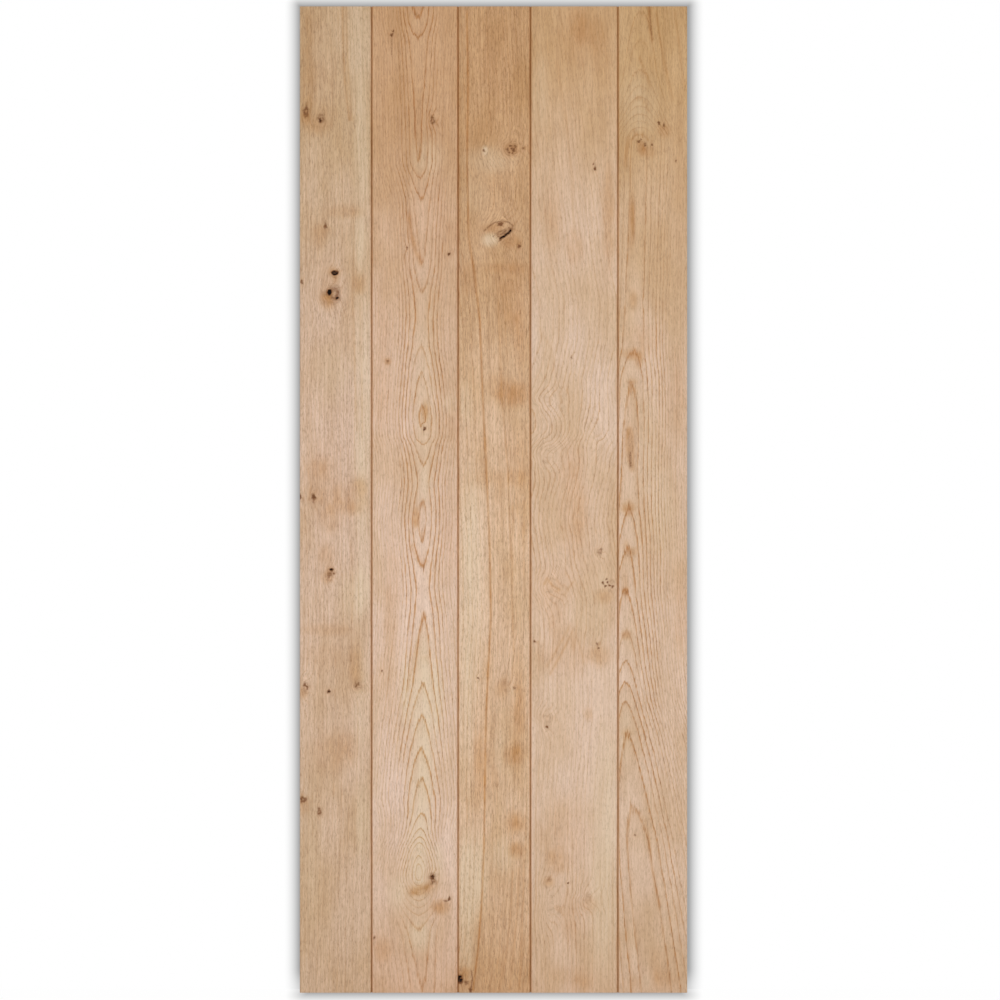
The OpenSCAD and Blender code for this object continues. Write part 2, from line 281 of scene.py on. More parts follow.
            Knot(497, 234.5, 3.0, 2.2, 0.3), Knot(519.4, 246.3, 1.9, 1.4, 0.65),
            Knot(478, 678, 1.2, 1.2, 0.45), Knot(505, 683, 2.0, 4.0, 0.18),
            Knot(514.5, 688, 2.0, 1.6, 0.34), Knot(459.9, 979.5, 2.9, 4.8, 0.95, pit=1.5),
            Knot(466.5, 982.5, 2.2, 2.6, 0.4), Knot(470.4, 990, 1.5, 1.8, 0.75)),
        stains=(
            Patch(495, 60, 24, 50, 0.15), Patch(511, 150, 8, 7, 0.4), Patch(490, 228, 9, 4, 0.4),
            Patch(512, 242, 9, 6, 0.5), Patch(506, 268, 22, 5, 0.35), Patch(468, 278, 8, 14, 0.35),
            Patch(512, 297, 14, 34, 0.5), Patch(520, 340, 7, 30, 0.4), Patch(497, 385, 8, 12, 0.4),
            Patch(514.5, 394, 16, 12, 0.75), Patch(484, 455, 5, 20, 0.3),
            Patch(514, 455, 12, 28, 0.22), Patch(500, 478, 30, 8, 0.25),
            Patch(522, 500, 8, 60, 0.35), Patch(500, 505, 7, 20, 0.3),
            Patch(503, 600, 12, 90, 0.15), Patch(488, 668, 5, 24, 0.25),
            Patch(501, 690, 7, 12, 0.35), Patch(519, 712, 7, 62, 0.6), Patch(486, 745, 9, 46, 0.35),
            Patch(512, 755, 12, 9, 0.5), Patch(478, 775, 6, 40, 0.4), Patch(495, 780, 4, 12, 0.3),
            Patch(516, 823, 9, 10.5, 0.75), Patch(516.5, 850, 8, 7.5, 0.75),
            Patch(466, 973, 7, 6, 0.6), Patch(467, 985, 6, 5, 0.4)),
        pales=(
            Patch(485, 150.5, 2.6, 4, 0.8), Patch(490, 160, 22, 12, 0.5),
            Patch(475, 195, 12, 20, 0.3), Patch(490, 240, 7, 6, 1.0), Patch(466, 405, 6, 20, 0.5),
            Patch(470, 540, 8, 60, 0.5), Patch(472, 590, 9, 90, 0.55), Patch(466, 690, 7, 80, 0.4),
            Patch(513, 691, 2, 4, 0.5), Patch(499, 752, 6, 16, 0.4), Patch(502, 856, 10, 16, 0.6),
            Patch(473, 875, 13, 36, 0.95), Patch(466, 925, 8, 60, 0.75)),
        strokes=(
            Stroke(((467, 10), (468, 90), (467, 180), (469, 240), (474, 270), (480, 320),
                    (483, 400), (487, 480), (490, 550), (491, 620), (488, 670), (486, 720),
                    (484, 850), (482, 900), (478, 950), (473, 990)), 1.0, 0.95),
            Stroke(((510.6, 230.4), (508.4, 233), (504.6, 235.8),
                    (500.4, 238.6)), 1.4, 1.1, dark=True),
            Stroke(((484, 231), (489, 226.4), (495, 222.4), (503, 221), (509, 222.4), (513, 226),
                    (512, 232)), 1.1, 0.36, dark=True),
            Stroke(((499, 236), (504, 232.5), (509, 228.5)), 2.0, 0.36, dark=True),
            Stroke(((493, 236.5), (498, 232.5), (504, 230), (508, 228.6)), 0.9, 0.34, dark=True),
            Stroke(((498, 300), (502, 400), (508, 470), (511, 560)), 0.9, 0.5),
            Stroke(((524, 500), (524.4, 560), (525, 600)), 1.1, 0.35),
            Stroke(((512.4, 506), (512.8, 531), (512.2, 594), (513.6, 650)), 1.1, 0.4),
            Stroke(((523.6, 858), (522.8, 908), (521.4, 952), (519, 989)), 1.1, 0.45),
            Stroke(((519, 868), (517.4, 908), (514, 946), (509.5, 989)), 1.1, 0.45),
            Stroke(((512.7, 872), (511, 914), (506.4, 952), (500, 989)), 1.1, 0.4),
            Stroke(((471.5, 971), (472.5, 979), (471, 988)), 1.0, 0.4, dark=True))),
    "board_4": Figure(
        heart=((0, 490), (150, 508), (300, 530), (420, 520), (520, 500), (640, 512), (800, 505),
               (990, 500)),
        crest=((0, 4), (120, 3.2), (260, 3.8), (340, 3), (380, 4), (430, 2.5), (500, 4), (560, 3),
               (600, 1.6), (650, 3), (720, 2.2), (800, 3.2), (990, 2)),
        ring=4.0, pith=((0, 24),),
        line=((0, 0.2), (330, 0.3), (380, 0.48), (470, 0.48), (560, 0.45), (610, 0.36), (650, 0.3),
              (700, 0.22), (850, 0.24), (890, 0.4), (930, 0.4), (985, 0.25)),
        fibre=1.0,
        warmth_and_shade=((80, 1), (230, 0.3), (370, 0), (520, 0.3), (670, 0.1), (820, 0.05), (1000, 0.3)),
        knots=(
            Knot(593.5, 164, 1.0, 1.2, 0.4), Knot(595, 168.5, 1.3, 1.7, 0.7),
            Knot(571.5, 357.6, 1.1, 1.5, 0.38), Knot(547, 400, 12, 10, 0.02, bend=2.6, reach=1),
            Knot(590, 440, 12, 16, 0.02, bend=2, reach=1),
            Knot(548, 455, 14, 12, 0.02, bend=3.2, reach=1),
            Knot(600, 551, 2.6, 2.6, 0.5, hollow=0.6, bend=1.8), Knot(606.4, 579.2, 1.2, 1.0, 0.45),
            Knot(612.2, 581.8, 2.6, 2.6, 0.28, hollow=0.6), Knot(607.4, 582.2, 1.0, 1.1, 0.55),
            Knot(602.9, 582.9, 1.1, 1.4, 0.62), Knot(609.6, 585.4, 1.2, 1.1, 0.6),
            Knot(605.5, 586, 1.1, 1.2, 0.62), Knot(612.6, 586.6, 1.2, 1.2, 0.6),
            Knot(549, 588, 11, 13, 0.02, bend=3, reach=1), Knot(534.5, 641.4, 1.1, 1.3, 0.7),
            Knot(597, 644, 1.1, 2.1, 0.4), Knot(598.5, 648, 1.0, 1.2, 0.45),
            Knot(547, 719, 4.0, 4.8, 0.34, hollow=0.85, bend=2.4), Knot(547, 727, 1.2, 1.3, 0.75),
            Knot(549, 880, 2.6, 2.6, 0.3), Knot(568, 883, 0.9, 0.9, 0.7),
            Knot(588, 899, 4.0, 3.2, 0.28, hollow=0.6, bend=2.6, reach=2.6),
            Knot(551, 906, 8, 13, 0.02, bend=3.2, reach=1)),
        stains=(
            Patch(580, 25, 9, 16, 0.35), Patch(580, 33, 18, 28, 0.32), Patch(601, 45, 10, 26, 0.25),
            Patch(552, 220, 8, 32, 0.4), Patch(609, 220, 6, 52, 0.55), Patch(574, 248, 9, 16, 0.4),
            Patch(569, 464, 9, 24, 0.3), Patch(573, 506, 13, 45, 0.3), Patch(580, 515, 6, 45, 0.3),
            Patch(551, 590, 18, 24, 0.35), Patch(606, 596, 9, 7, 0.52), Patch(612, 622, 5, 14, 0.2),
            Patch(556, 625, 10, 14, 0.35), Patch(573, 643, 2.6, 8, 0.35),
            Patch(570, 655, 20, 22, 0.25), Patch(546, 656, 12, 14, 0.25),
            Patch(600, 656, 12, 9, 0.5), Patch(588, 714, 4, 6, 0.5), Patch(562, 835, 22, 36, 0.35),
            Patch(557, 860, 9, 12, 0.5), Patch(549, 882, 4.5, 5, 0.4), Patch(590, 905, 8, 8, 0.35),
            Patch(570, 918, 9, 25, 0.35), Patch(575, 975, 20, 8, 0.2), Patch(582, 985, 10, 8, 0.4)),
        pales=(
            Patch(540, 95, 7, 40, 0.3), Patch(604, 582, 5, 6, 0.4), Patch(592, 615, 14, 24, 0.25),
            Patch(606, 800, 12, 62, 0.6), Patch(604, 905, 12, 62, 0.7)),
        strokes=(
            Stroke(((556, 60), (566, 120), (572, 180), (574, 240)), 1.2, 0.3),
            Stroke(((540, 330), (552, 350), (556, 385), (548, 410)), 1.0, 0.25),
            Stroke(((544.6, 584), (547.3, 578.4), (552.8, 586), (559.2, 589.4), (565.6, 593),
                    (573, 582)), 1.1, 0.35),
            Stroke(((570, 626), (562, 640), (554, 655), (547, 666)), 1.1, 0.35),
            Stroke(((573, 630), (566, 645), (558, 660), (550, 674)), 1.1, 0.4),
            Stroke(((574, 630), (580, 646), (584, 664)), 1.1, 0.35))),
    "board_5": Figure(
        heart=((0, 641), (130, 640), (352, 633), (380, 632), (508, 629), (547, 628), (589, 625),
               (632, 626.5), (661, 626), (701, 625.5), (732, 627.5), (807, 633), (835, 637),
               (860, 639.5), (890, 643.5), (924, 648), (990, 656)),
        crest=((0, 20.4), (40, 19), (70, 18), (86, 17), (97, 16), (106, 15), (114, 14), (121, 13),
               (127, 12), (133, 11), (140, 10.5), (205, 10.5), (300, 10.4), (352, 10), (380, 9),
               (430, 8.6), (508, 8), (547, 7), (589, 6), (632, 5), (661, 4), (682, 3), (701, 2),
               (732, 1), (770, 0.4), (807, 0), (840, -0.4), (900, -0.6), (990, -0.7)),
        ring=2.7, pith=((0, 22), (700, 22), (800, 50), (990, 85)),
        line=((0, 0.42), (60, 0.36), (135, 0.42), (180, 0.65), (320, 0.8), (360, 1.2), (480, 1.4),
              (760, 1.4), (990, 1.25)),
        peak=0.02, flat=((0, 5), (440, 5), (480, 0.5), (740, 0.5), (800, 6), (990, 6)), span=20,
        fibre=1.1,
        warmth_and_shade=((90, 1), (370, 0.15), (520, 0), (680, 0), (1000, 0.25)),
        knots=(
            Knot(658.9, 123, 1.3, 1.5, 0.68), Knot(663.9, 125, 1.1, 1.6, 0.55),
            Knot(641, 139.4, 1.0, 1.0, 0.45), Knot(638.8, 141.4, 1.9, 1.2, 0.62, bend=0.2),
            Knot(645, 144.6, 1.1, 1.9, 0.55), Knot(652, 144.7, 1.2, 1.1, 0.58),
            Knot(676, 161, 1.0, 1.2, 0.45), Knot(635, 835, 1.0, 1.2, 0.5, bend=0.1)),
        stains=(
            Patch(664.5, 131, 6, 6, 0.55), Patch(641, 148, 4, 6, 0.6), Patch(648, 152, 7, 5, 0.45),
            Patch(679, 180, 6, 80, 0.22), Patch(632, 220, 3, 24, 0.85), Patch(633, 300, 4, 9, 0.5),
            Patch(642, 340, 12, 14, 0.4), Patch(632, 354, 9, 4.5, 0.9), Patch(639, 361, 4, 6, 0.7),
            Patch(632, 381, 5, 2.5, 0.6), Patch(678, 400, 8, 45, 0.35),
            Patch(630, 447, 4.5, 17, 0.9), Patch(628, 508, 6, 6, 1.0), Patch(626, 546, 4, 6, 0.5),
            Patch(632, 552, 4, 4, 0.7), Patch(625, 585, 4, 14, 0.4), Patch(625, 591, 4, 4, 0.6),
            Patch(680, 610, 7, 40, 0.35), Patch(626, 635, 5, 4, 0.75), Patch(627, 733, 5, 4, 0.6),
            Patch(657, 965, 6, 14, 0.3), Patch(664, 980, 12, 9, 0.45), Patch(634, 982, 7, 7, 0.3)),
        pales=(
            Patch(640, 105, 20, 28, 0.4), Patch(648, 450, 8, 45, 0.35),
            Patch(662, 512, 10, 40, 0.45), Patch(626, 738, 5, 25, 0.5), Patch(645, 982, 5, 5, 0.5)),
        strokes=(
            Stroke(((649, 7), (650, 20), (652, 40)), 2.0, 0.8),
            Stroke(((649.4, 7), (650.3, 20), (651.8, 36)), 1.4, 0.3, dark=True),
            Stroke(((656, 10), (660.5, 43), (668, 79), (673, 100)), 1.1, 0.55),
            Stroke(((675, 10), (678.5, 40), (682, 72), (685.5, 92)), 1.1, 0.45),
            Stroke(((639, 57), (642, 64), (647, 76), (650, 87)), 1.1, 0.5),
            Stroke(((630, 108), (635, 99.5), (639.5, 97.5), (645, 103), (649, 111)), 1.1, 0.4),
            Stroke(((624, 168), (625.5, 150), (629, 137), (634, 129.5)), 1.1, 0.4),
            Stroke(((626.5, 168), (627.5, 150), (630.5, 140), (635, 134.5), (640, 133),
                    (645.5, 135.5), (648, 140)), 1.1, 0.5),
            Stroke(((630, 195), (632, 215), (634, 235)), 1.5, 0.15, dark=True),
            Stroke(((629, 430), (630.4, 447), (632, 468)), 3.0, 0.9),
            Stroke(((628, 431), (629.5, 445), (630.3, 452)), 2.2, 0.16, dark=True),
            Stroke(((631.5, 434), (632.5, 450)), 1.0, 0.2, dark=True),
            Stroke(((630, 453), (630.8, 467)), 2.0, 0.36, dark=True),
            Stroke(((639, 811), (645, 821), (649, 840), (651.5, 862), (655, 885),
                    (660, 906)), 1.5, 0.55))),
}

# Timbers on the back: heart at 0 is the timber's centre line, and y runs along it from its middle.
LEDGE_FIGURES = {
    "top_ledge": Figure(
        heart=((-190, 4), (0, -3), (190, 6)),
        crest=((-190, 5), (-120, 7), (-40, 4), (60, 6.4), (130, 3.6), (190, 5)),
        ring=3.2, pith=((0, 20),), line=((0, 0.8),),
        warmth_and_shade=((-190, 0.35), (190, 0.55)),
        knots=(Knot(12, -70, 2.6, 3.4, 0.8, pit=0.8, bend=1.6), Knot(-20, 104, 1.4, 1.8, 0.7)),
        stains=(Patch(12, -66, 7, 12, 0.4), Patch(-18, 108, 5, 9, 0.3))),
    "middle_ledge": Figure(
        heart=((-190, -46), (0, -40), (190, -48)),
        crest=((-190, 0), (0, 0.9), (190, 0.2)),
        ring=3.6, pith=((0, 22),), line=((0, 0.6),),
        warmth_and_shade=((-190, 0.2), (60, 0.45), (190, 0.3)),
        knots=(Knot(18, -132, 1.3, 1.6, 0.7), Knot(-8, 118, 2.2, 2.8, 0.75, bend=1.4)),
        stains=(Patch(10, 10, 8, 50, 0.2), Patch(-8, 123, 6, 10, 0.35)),
        pales=(Patch(28, -40, 6, 110, 0.5),)),
    "bottom_ledge": Figure(
        heart=((-190, -6), (20, 3), (190, -2)),
        crest=((-190, 3), (-90, 5), (-10, 7.6), (70, 4.4), (190, 6.5)),
        ring=3.0, pith=((0, 22),), line=((0, 0.85),),
        warmth_and_shade=((-190, 0.6), (0, 0.3), (190, 0.6)),
        knots=(Knot(22, -30, 1.2, 1.5, 0.6), Knot(-14, 46, 2.8, 3.6, 0.85, pit=0.8, bend=1.8)),
        stains=(Patch(-14, 51, 7, 11, 0.4),)),
}
BRACE_FIGURES = {
    "upper_brace": Figure(
        heart=((-240, 40), (0, 44), (240, 38)),
        crest=((-240, 0), (0, 1.2), (240, 0.3)),
        ring=3.5, pith=((0, 20),), line=((0, 0.65),),
        warmth_and_shade=((-240, 0.3), (240, 0.5)),
        knots=(Knot(6, -60, 2.0, 2.6, 0.8, bend=1.5), Knot(-12, 92, 1.4, 1.8, 0.7)),
        stains=(Patch(6, -56, 6, 10, 0.35),),
        pales=(Patch(-22, 20, 5, 150, 0.5),)),
    "lower_brace": Figure(
        heart=((-240, -4), (0, 5), (240, -3)),
        crest=((-240, 4), (-150, 6.4), (-60, 3.2), (40, 5.6), (130, 2.6), (240, 5)),
        ring=3.1, pith=((0, 20),), line=((0, 0.85),),
        warmth_and_shade=((-240, 0.55), (240, 0.3)),
        knots=(Knot(15, -118, 1.4, 1.6, 0.65), Knot(-9, 66, 2.4, 3.2, 0.8, pit=0.6, bend=1.6)),
        stains=(Patch(-9, 71, 6, 10, 0.4),)),
}

# Pixels over which a figure's curves are softened.
CURVE_SOFTNESS = 5

# Waves on a knot's outline, as times round it and share of its size. An open knot keeps part of them.
KNOT_WAVES = ((2, 0.17), (3, 0.15), (5, 0.1))
OPEN_RAGGED = 0.35

# Powers that sharpen the edge of a sound knot, of an open one and of its pit.
SOUND_EDGE, OPEN_EDGE, PIT_EDGE = 2, 4, 3

# How fast a knot's pale middle and the stain round it fall off, and that stain's strength.
HOLLOW_FALL = 2
HALO_FALL, KNOT_HALO = 0.2, 0.45

# Pixels under the face in which knots, stains and sapwood fade out.
MARK_FADE = 9.0

# A patch falls off by the exponential of this share of its squared distance, raised to this power.
PATCH_FALL, PATCH_POWER = 0.7, 1.6

# Half width in pixels over which an arch's tip is rounded, and the least square that divides.
HEART_WIDTH = 1.5
LEAST_SQUARE = 1e-9

# Share of its strength that a ring line loses far from the heart.
SIDE_LOSS = 0.7

# Least pace of the ring number over the face, and the power that evens the paces out.
LEAST_PACE, PACE_POWER = 0.1, 0.55


def soft_curve(points, at):
    """Value at each place of a curve through (place, value) points: straight stretches between the
    points, averaged under a bell a few pixels wide."""
    places, values = np.array(points, dtype=float).T
    samples = np.arange(min(places[0], at.min()) - 1, max(places[-1], at.max()) + 2)
    straight = np.pad(np.interp(samples, places, values), CURVE_SOFTNESS, mode="edge")
    bell = np.hanning(2 * CURVE_SOFTNESS + 3)[1:-1]
    return np.interp(at, samples, np.convolve(straight, bell / bell.sum(), mode="valid"))


def oval(x, y, spot):
    """Squared distance from a spot's middle, counted in its half width and half height."""
    return ((x - spot.x) / spot.wide) ** 2 + ((y - spot.y) / spot.tall) ** 2


def ragged_oval(x, y, knot):
    """Squared distance from a knot's middle, counted in its half width and half height. Sines of a
    few times the angle swell and pinch the outline, turned by the knot's own place."""
    angle = np.arctan2((y - knot.y) / knot.tall, (x - knot.x) / knot.wide)
    turns = (knot.x, knot.y, knot.x + knot.y)
    waves = np.zeros_like(x)
    for (times, swell), turn in zip(KNOT_WAVES, turns):
        waves += swell * np.sin(times * angle + turn)
    return oval(x, y, knot) / (1 + waves * (OPEN_RAGGED if knot.pit else 1)) ** 2


def patches(x, y, spots):
    """Sum of soft ovals: each is even within, half as strong on its outline and gone just past it."""
    total = np.zeros_like(x)
    for p in spots:
        total += p.amount * np.exp(-PATCH_FALL * oval(x, y, p) ** PATCH_POWER)
    return total


def stroke_line(x, y, stroke):
    """Strength of a stroke: a bell of the distance to the nearest of its straight stretches."""
    nearest = np.full_like(x, np.inf)
    for (x_0, y_0), (x_1, y_1) in zip(stroke.path, stroke.path[1:]):
        run_x, run_y = x_1 - x_0, y_1 - y_0
        along = ((x - x_0) * run_x + (y - y_0) * run_y) / (run_x ** 2 + run_y ** 2)
        along = np.clip(along, 0, 1)
        nearest = np.minimum(nearest, np.hypot(x - x_0 - along * run_x, y - y_0 - along * run_y))
    return stroke.amount * np.exp(-(nearest / stroke.wide) ** 2)


def knot_fields(figure, x, y, fade):
    """What the knots do at points on a timber: how dark they are, the stain round them, the rings
    that they push on, and how far they swing the fibres aside. A knot is even up to its edge, less
    its hollow middle. Rings and fibres move by a bell of the distance."""
    dark, halo, pushed, lean = (np.zeros_like(x) for _ in range(4))
    for k in figure.knots:
        away = ragged_oval(x, y, k)
        edge = OPEN_EDGE if k.pit else SOUND_EDGE
        body = 1 / (1 + away ** edge) - k.hollow * np.exp(-HOLLOW_FALL * away)
        dark = np.maximum(dark, k.dark * body)
        halo = np.maximum(halo, KNOT_HALO * k.dark * np.exp(-HALO_FALL * away))
        bell = fade * np.exp(-away / (2 * k.reach ** 2))
        pushed += k.bend * bell
        lean += k.wide * bell * np.tanh((x - k.x) / k.wide)
    return dark, halo, pushed, lean


def figure_fields(figure, x, y, depth):
    """Wood fields at points x across and y along a timber, depth pixels under its face.

    pith holds, in ring widths, the distance across from the heart line, the distance to the pith
    under the face, and the ring number to add to their hypotenuse. marks holds the knots, stains
    and pale sapwood. warmth is the tone, and on the boards also painted shade towards their tops and
    feet; line is the strength of the ring lines and pace how fast the ring number changes over the
    face, in rings to a ring width. The fibres' swing round the knots comes beside them."""
    fade = np.exp(-depth / MARK_FADE)
    dark, halo, pushed, lean = knot_fields(figure, x, y, fade)
    stain = patches(x, y, figure.stains) + halo
    for stroke in figure.strokes:
        if stroke.dark:
            dark = np.maximum(dark, stroke_line(x, y, stroke))
        else:
            stain += stroke_line(x, y, stroke)
    marks = np.stack([dark, stain, patches(x, y, figure.pales)], axis=-1) * fade[..., None]

    pith = soft_curve(figure.pith, y)
    aside = x - soft_curve(figure.heart, y)
    blunt = aside ** 3 / (aside ** 2 + soft_curve(figure.flat, y) ** 2 + LEAST_SQUARE)
    number = soft_curve(figure.crest, y) - pith / figure.ring + pushed
    number += figure.peak * (np.hypot(aside, HEART_WIDTH) - HEART_WIDTH)
    climb = (soft_curve(figure.crest, y + 1) - soft_curve(figure.crest, y - 1)) / 2 * figure.ring
    spread = np.abs(blunt) / np.hypot(blunt, pith + depth) + figure.peak * figure.ring
    far = np.clip(np.abs(aside) / figure.span - 1, 0, 1)
    eased_far = far * far * (3 - 2 * far)
    fields = {
        "pith": np.stack([blunt / figure.ring, (pith + depth) / figure.ring, number], axis=-1),
        "marks": np.clip(marks, 0, 1),
        "warmth_and_shade": soft_curve(figure.warmth_and_shade, y),
        "line": soft_curve(figure.line, y) * (1 - SIDE_LOSS * eased_far),
        "pace": np.clip(np.hypot(climb, spread), LEAST_PACE, 1) ** PACE_POWER,
    }
    return fields, lean


def knot_pits(figure, x, y):
    """Depth in metres of the open knots at points on a face: flat inside, with a soft rim."""
    pits = np.zeros_like(x)
    for k in figure.knots:
        if k.pit:
            pits = np.maximum(pits, k.pit * MM / (1 + ragged_oval(x, y, k) ** PIT_EDGE))
    return pits


# Meshes

# Fine mesh lines lie this many pixels apart, out to this many times a knot's own size.
FINE_STEP, KNOT_SPREAD = 0.7, 2.2

# Most of a side that an eased corner takes up, and the angle past which an edge is drawn sharp.
MOST_EASED = 0.4
SHARP_ANGLE = math.radians(15)


def even_steps(count):
    """Shares of a side at which count equal pieces meet."""
    return np.linspace(0, 1, count + 1)[1:-1]


def close_lines(low, high, step, spots):
    """Places from low to high a step apart, and a fine step apart round each (middle, half size)."""
    every = [np.linspace(low, high, max(2, round((high - low) / step) + 1))]
    for middle, half in spots:
        count = math.ceil(half * KNOT_SPREAD / FINE_STEP)
        every.append(middle + FINE_STEP * np.arange(-count, count + 1))
    every = np.sort(np.concatenate(every))
    every = every[(every > low) & (every < high)]
    apart = np.concatenate([[True], np.diff(np.round(every / FINE_STEP)) > 0])
    return np.concatenate([[low], every[apart][1:-1], [high]])


def eased_outline(corners, radius, sides):
    """Closed outline through corners[..., corner, 2]. Each corner becomes a short arc of three points,
    and side k, from corner k to the next, is divided at the shares in sides[k]."""
    back = np.roll(corners, 1, axis=-2) - corners
    ahead = np.roll(corners, -1, axis=-2) - corners
    back_l = np.linalg.norm(back, axis=-1, keepdims=True)
    ahead_l = np.linalg.norm(ahead, axis=-1, keepdims=True)
    start = corners + back * np.minimum(radius / back_l, MOST_EASED)
    end = corners + ahead * np.minimum(radius / ahead_l, MOST_EASED)
    arcs = np.stack([start, (start + 2 * corners + end) / 4, end], axis=-2)
    following = np.roll(start, -1, axis=-2)
    pieces = []
    for k, shares in enumerate(sides):
        run = following[..., k, :] - end[..., k, :]
        pieces += [arcs[..., k, :, :], end[..., k, None, :] + run[..., None, :] * shares[:, None]]
    return np.concatenate(pieces, axis=-2)


def inset(outline, amount):
    """An outline moved inwards: each point goes against the normal of the chord of its neighbours."""
    chord = np.roll(outline, -1, axis=-2) - np.roll(outline, 1, axis=-2)
    normal = np.stack([chord[..., 1], -chord[..., 0]], axis=-1)
    return outline - amount * normal / np.linalg.norm(normal, axis=-1, keepdims=True)


def swept_mesh(name, points, caps=None, last_caps=None):
    """Closed sweeps from points[copy, row, column]: quads join each row to the next and each column
    to the next round the loop, and polygons of columns close the first row and the last."""
    copies, rows, columns, _ = points.shape
    index = np.arange(copies * rows * columns).reshape(copies, rows, columns)
    beside = np.roll(index, -1, axis=2)
    quads = np.stack([index[:, :-1], beside[:, :-1], beside[:, 1:], index[:, 1:]], axis=-1)
    loops = [quads.ravel()]
    sizes = [np.full(quads.size // 4, 4)]
    caps = caps or [np.arange(columns)]
    for row, turn, polygons in ((0, -1, caps), (-1, 1, last_caps or caps)):
        for polygon in polygons:
            loops.append(index[:, row, polygon][:, ::turn].ravel())
            sizes.append(np.full(copies, len(polygon)))
    loops = np.concatenate(loops)
    sizes = np.concatenate(sizes)
    starts = np.cumsum(sizes) - sizes

    mesh = bpy.data.meshes.new(name)
    mesh.vertices.add(index.size)
    mesh.vertices.foreach_set("co", points.astype(np.float32).ravel())
    mesh.loops.add(len(loops))
    mesh.loops.foreach_set("vertex_index", loops.astype(np.int32))
    mesh.polygons.add(len(sizes))
    mesh.polygons.foreach_set("loop_start", starts.astype(np.int32))
    mesh.update(calc_edges=True)
    mesh.validate()
    mesh.polygons.foreach_set("use_smooth", np.ones(len(sizes), dtype=bool))
    mesh.set_sharp_from_angle(angle=SHARP_ANGLE)
    return mesh


def add_fields(mesh, fields):
    """Stores the wood fields of a mesh's points for its material: vectors, or single values."""
    for name, values in fields.items():
        vector = values.size == 3 * len(mesh.vertices)
        layer = mesh.attributes.new(name, "FLOAT_VECTOR" if vector else "FLOAT", "POINT")
        layer.data.foreach_set("vector" if vector else "value", values.astype(np.float32).ravel())


def add_piece(name, mesh, material, slot, *nodes):
    """Puts a finished mesh in the scene on the leaf's one body, in place of its CAD nodes."""
    mesh.materials.append(material)
    piece = bpy.data.objects.new(name, mesh)
    bpy.context.scene.collection.objects.link(piece)
    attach(piece, BODY)
    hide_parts(*nodes)
    return piece


# Materials

class Noise(NamedTuple):
    """Noise by its cells in each metre across and along the grain, its detail and its roughness."""
    across: float
    along: float
    detail: float = 2.0
    roughness: float = 0.5


class Wiring:
    """The node tree of a material or a world, with short ways to add nodes and feed their sockets."""

    def __init__(self, block):
        """Gives a new material or world its nodes."""
        block.use_nodes = True
        self.tree = block.node_tree
        self.nodes = self.tree.nodes

    def add(self, kind, inputs=(), **settings):
        """A new node with its settings, and its inputs fed by name or number."""
        node = self.nodes.new(kind)
        for name, value in settings.items():
            setattr(node, name, value)
        for socket, value in dict(inputs).items():
            self.feed(node.inputs[socket], value)
        return node

    def feed(self, socket, value):
        """Links another node's output to a socket, or sets the socket's own value."""
        if isinstance(value, bpy.types.NodeSocket):
            self.tree.links.new(value, socket)
        else:
            socket.default_value = value

    def math(self, operation, *values, clamp=False):
        """Result of one operation on single values, held to 0 to 1 on request."""
        node = self.add("ShaderNodeMath", enumerate(values), operation=operation, use_clamp=clamp)
        return node.outputs[0]

    def vector(self, operation, *values, output="Vector"):
        """Result of one operation on vectors."""
        node = self.add("ShaderNodeVectorMath", enumerate(values), operation=operation)
        return node.outputs[output]

    def blend(self, share, low, high, mode="MIX"):
        """A colour that moves by a share from low to high, or to low multiplied by high."""
        inputs = {0: share, 6: low, 7: high}
        return self.add("ShaderNodeMix", inputs, data_type="RGBA", blend_type=mode).outputs[2]

    def split(self, vector):
        """The three parts of a vector."""
        return self.add("ShaderNodeSeparateXYZ", {0: vector}).outputs

    def field(self, name, output="Vector"):
        """A wood field that the mesh carries."""
        return self.add("ShaderNodeAttribute", attribute_name=name).outputs[output]

    def noise(self, place, kind):
        """Noise in 0 to 1: the place is stretched by the cells in each direction."""
        cells = self.vector("MULTIPLY", place, (kind.across, kind.across, kind.along))
        inputs = {"Vector": cells, "Scale": 1.0, "Detail": kind.detail, "Roughness": kind.roughness}
        return self.add("ShaderNodeTexNoise", inputs).outputs[0]

    def wander(self, place, kind, width):
        """Noise about zero, a width from its lowest to its highest."""
        return self.math("MULTIPLY_ADD", self.noise(place, kind), width, -width / 2)

    def span(self, value, low, high, to_low=0.0, to_high=1.0):
        """A value carried from one range to another by a smooth step."""
        inputs = {"Value": value, "From Min": low, "From Max": high}
        inputs.update({"To Min": to_low, "To Max": to_high})
        return self.add("ShaderNodeMapRange", inputs, interpolation_type="SMOOTHSTEP").outputs[0]


# Noise that moves the ring number, with its width in rings, and noise that fades the ring lines.
SWAY, SWAY_WIDTH = Noise(26.0, 5.0), 1.2
RIPPLE, RIPPLE_WIDTH = Noise(210.0, 42.0), 0.6
TOOTH, TOOTH_WIDTH = Noise(700.0, 22.0), 0.4
FADING, FADING_SPAN = Noise(40.0, 9.0), (0.32, 0.62, 0.6, 1.1)

# Spans of a line's strength over the rings up to a whole number and past it, and the slow darkening
# of a ring's late wood as a share of the line and a power of the way through the ring.
LINE_UP_TO, LINE_PAST = (0.04, 0.32, 1.0, 0.0), (0.0, 0.16, 0.75, 0.0)
LATE_WOOD, LATE_POWER = 0.4, 3.0

# Least strength of a ring's line, what its lot adds, and the share that sapwood takes away.
RING_LEAST, RING_LOT, SAPWOOD_LOSS = 0.35, 0.8, 0.2

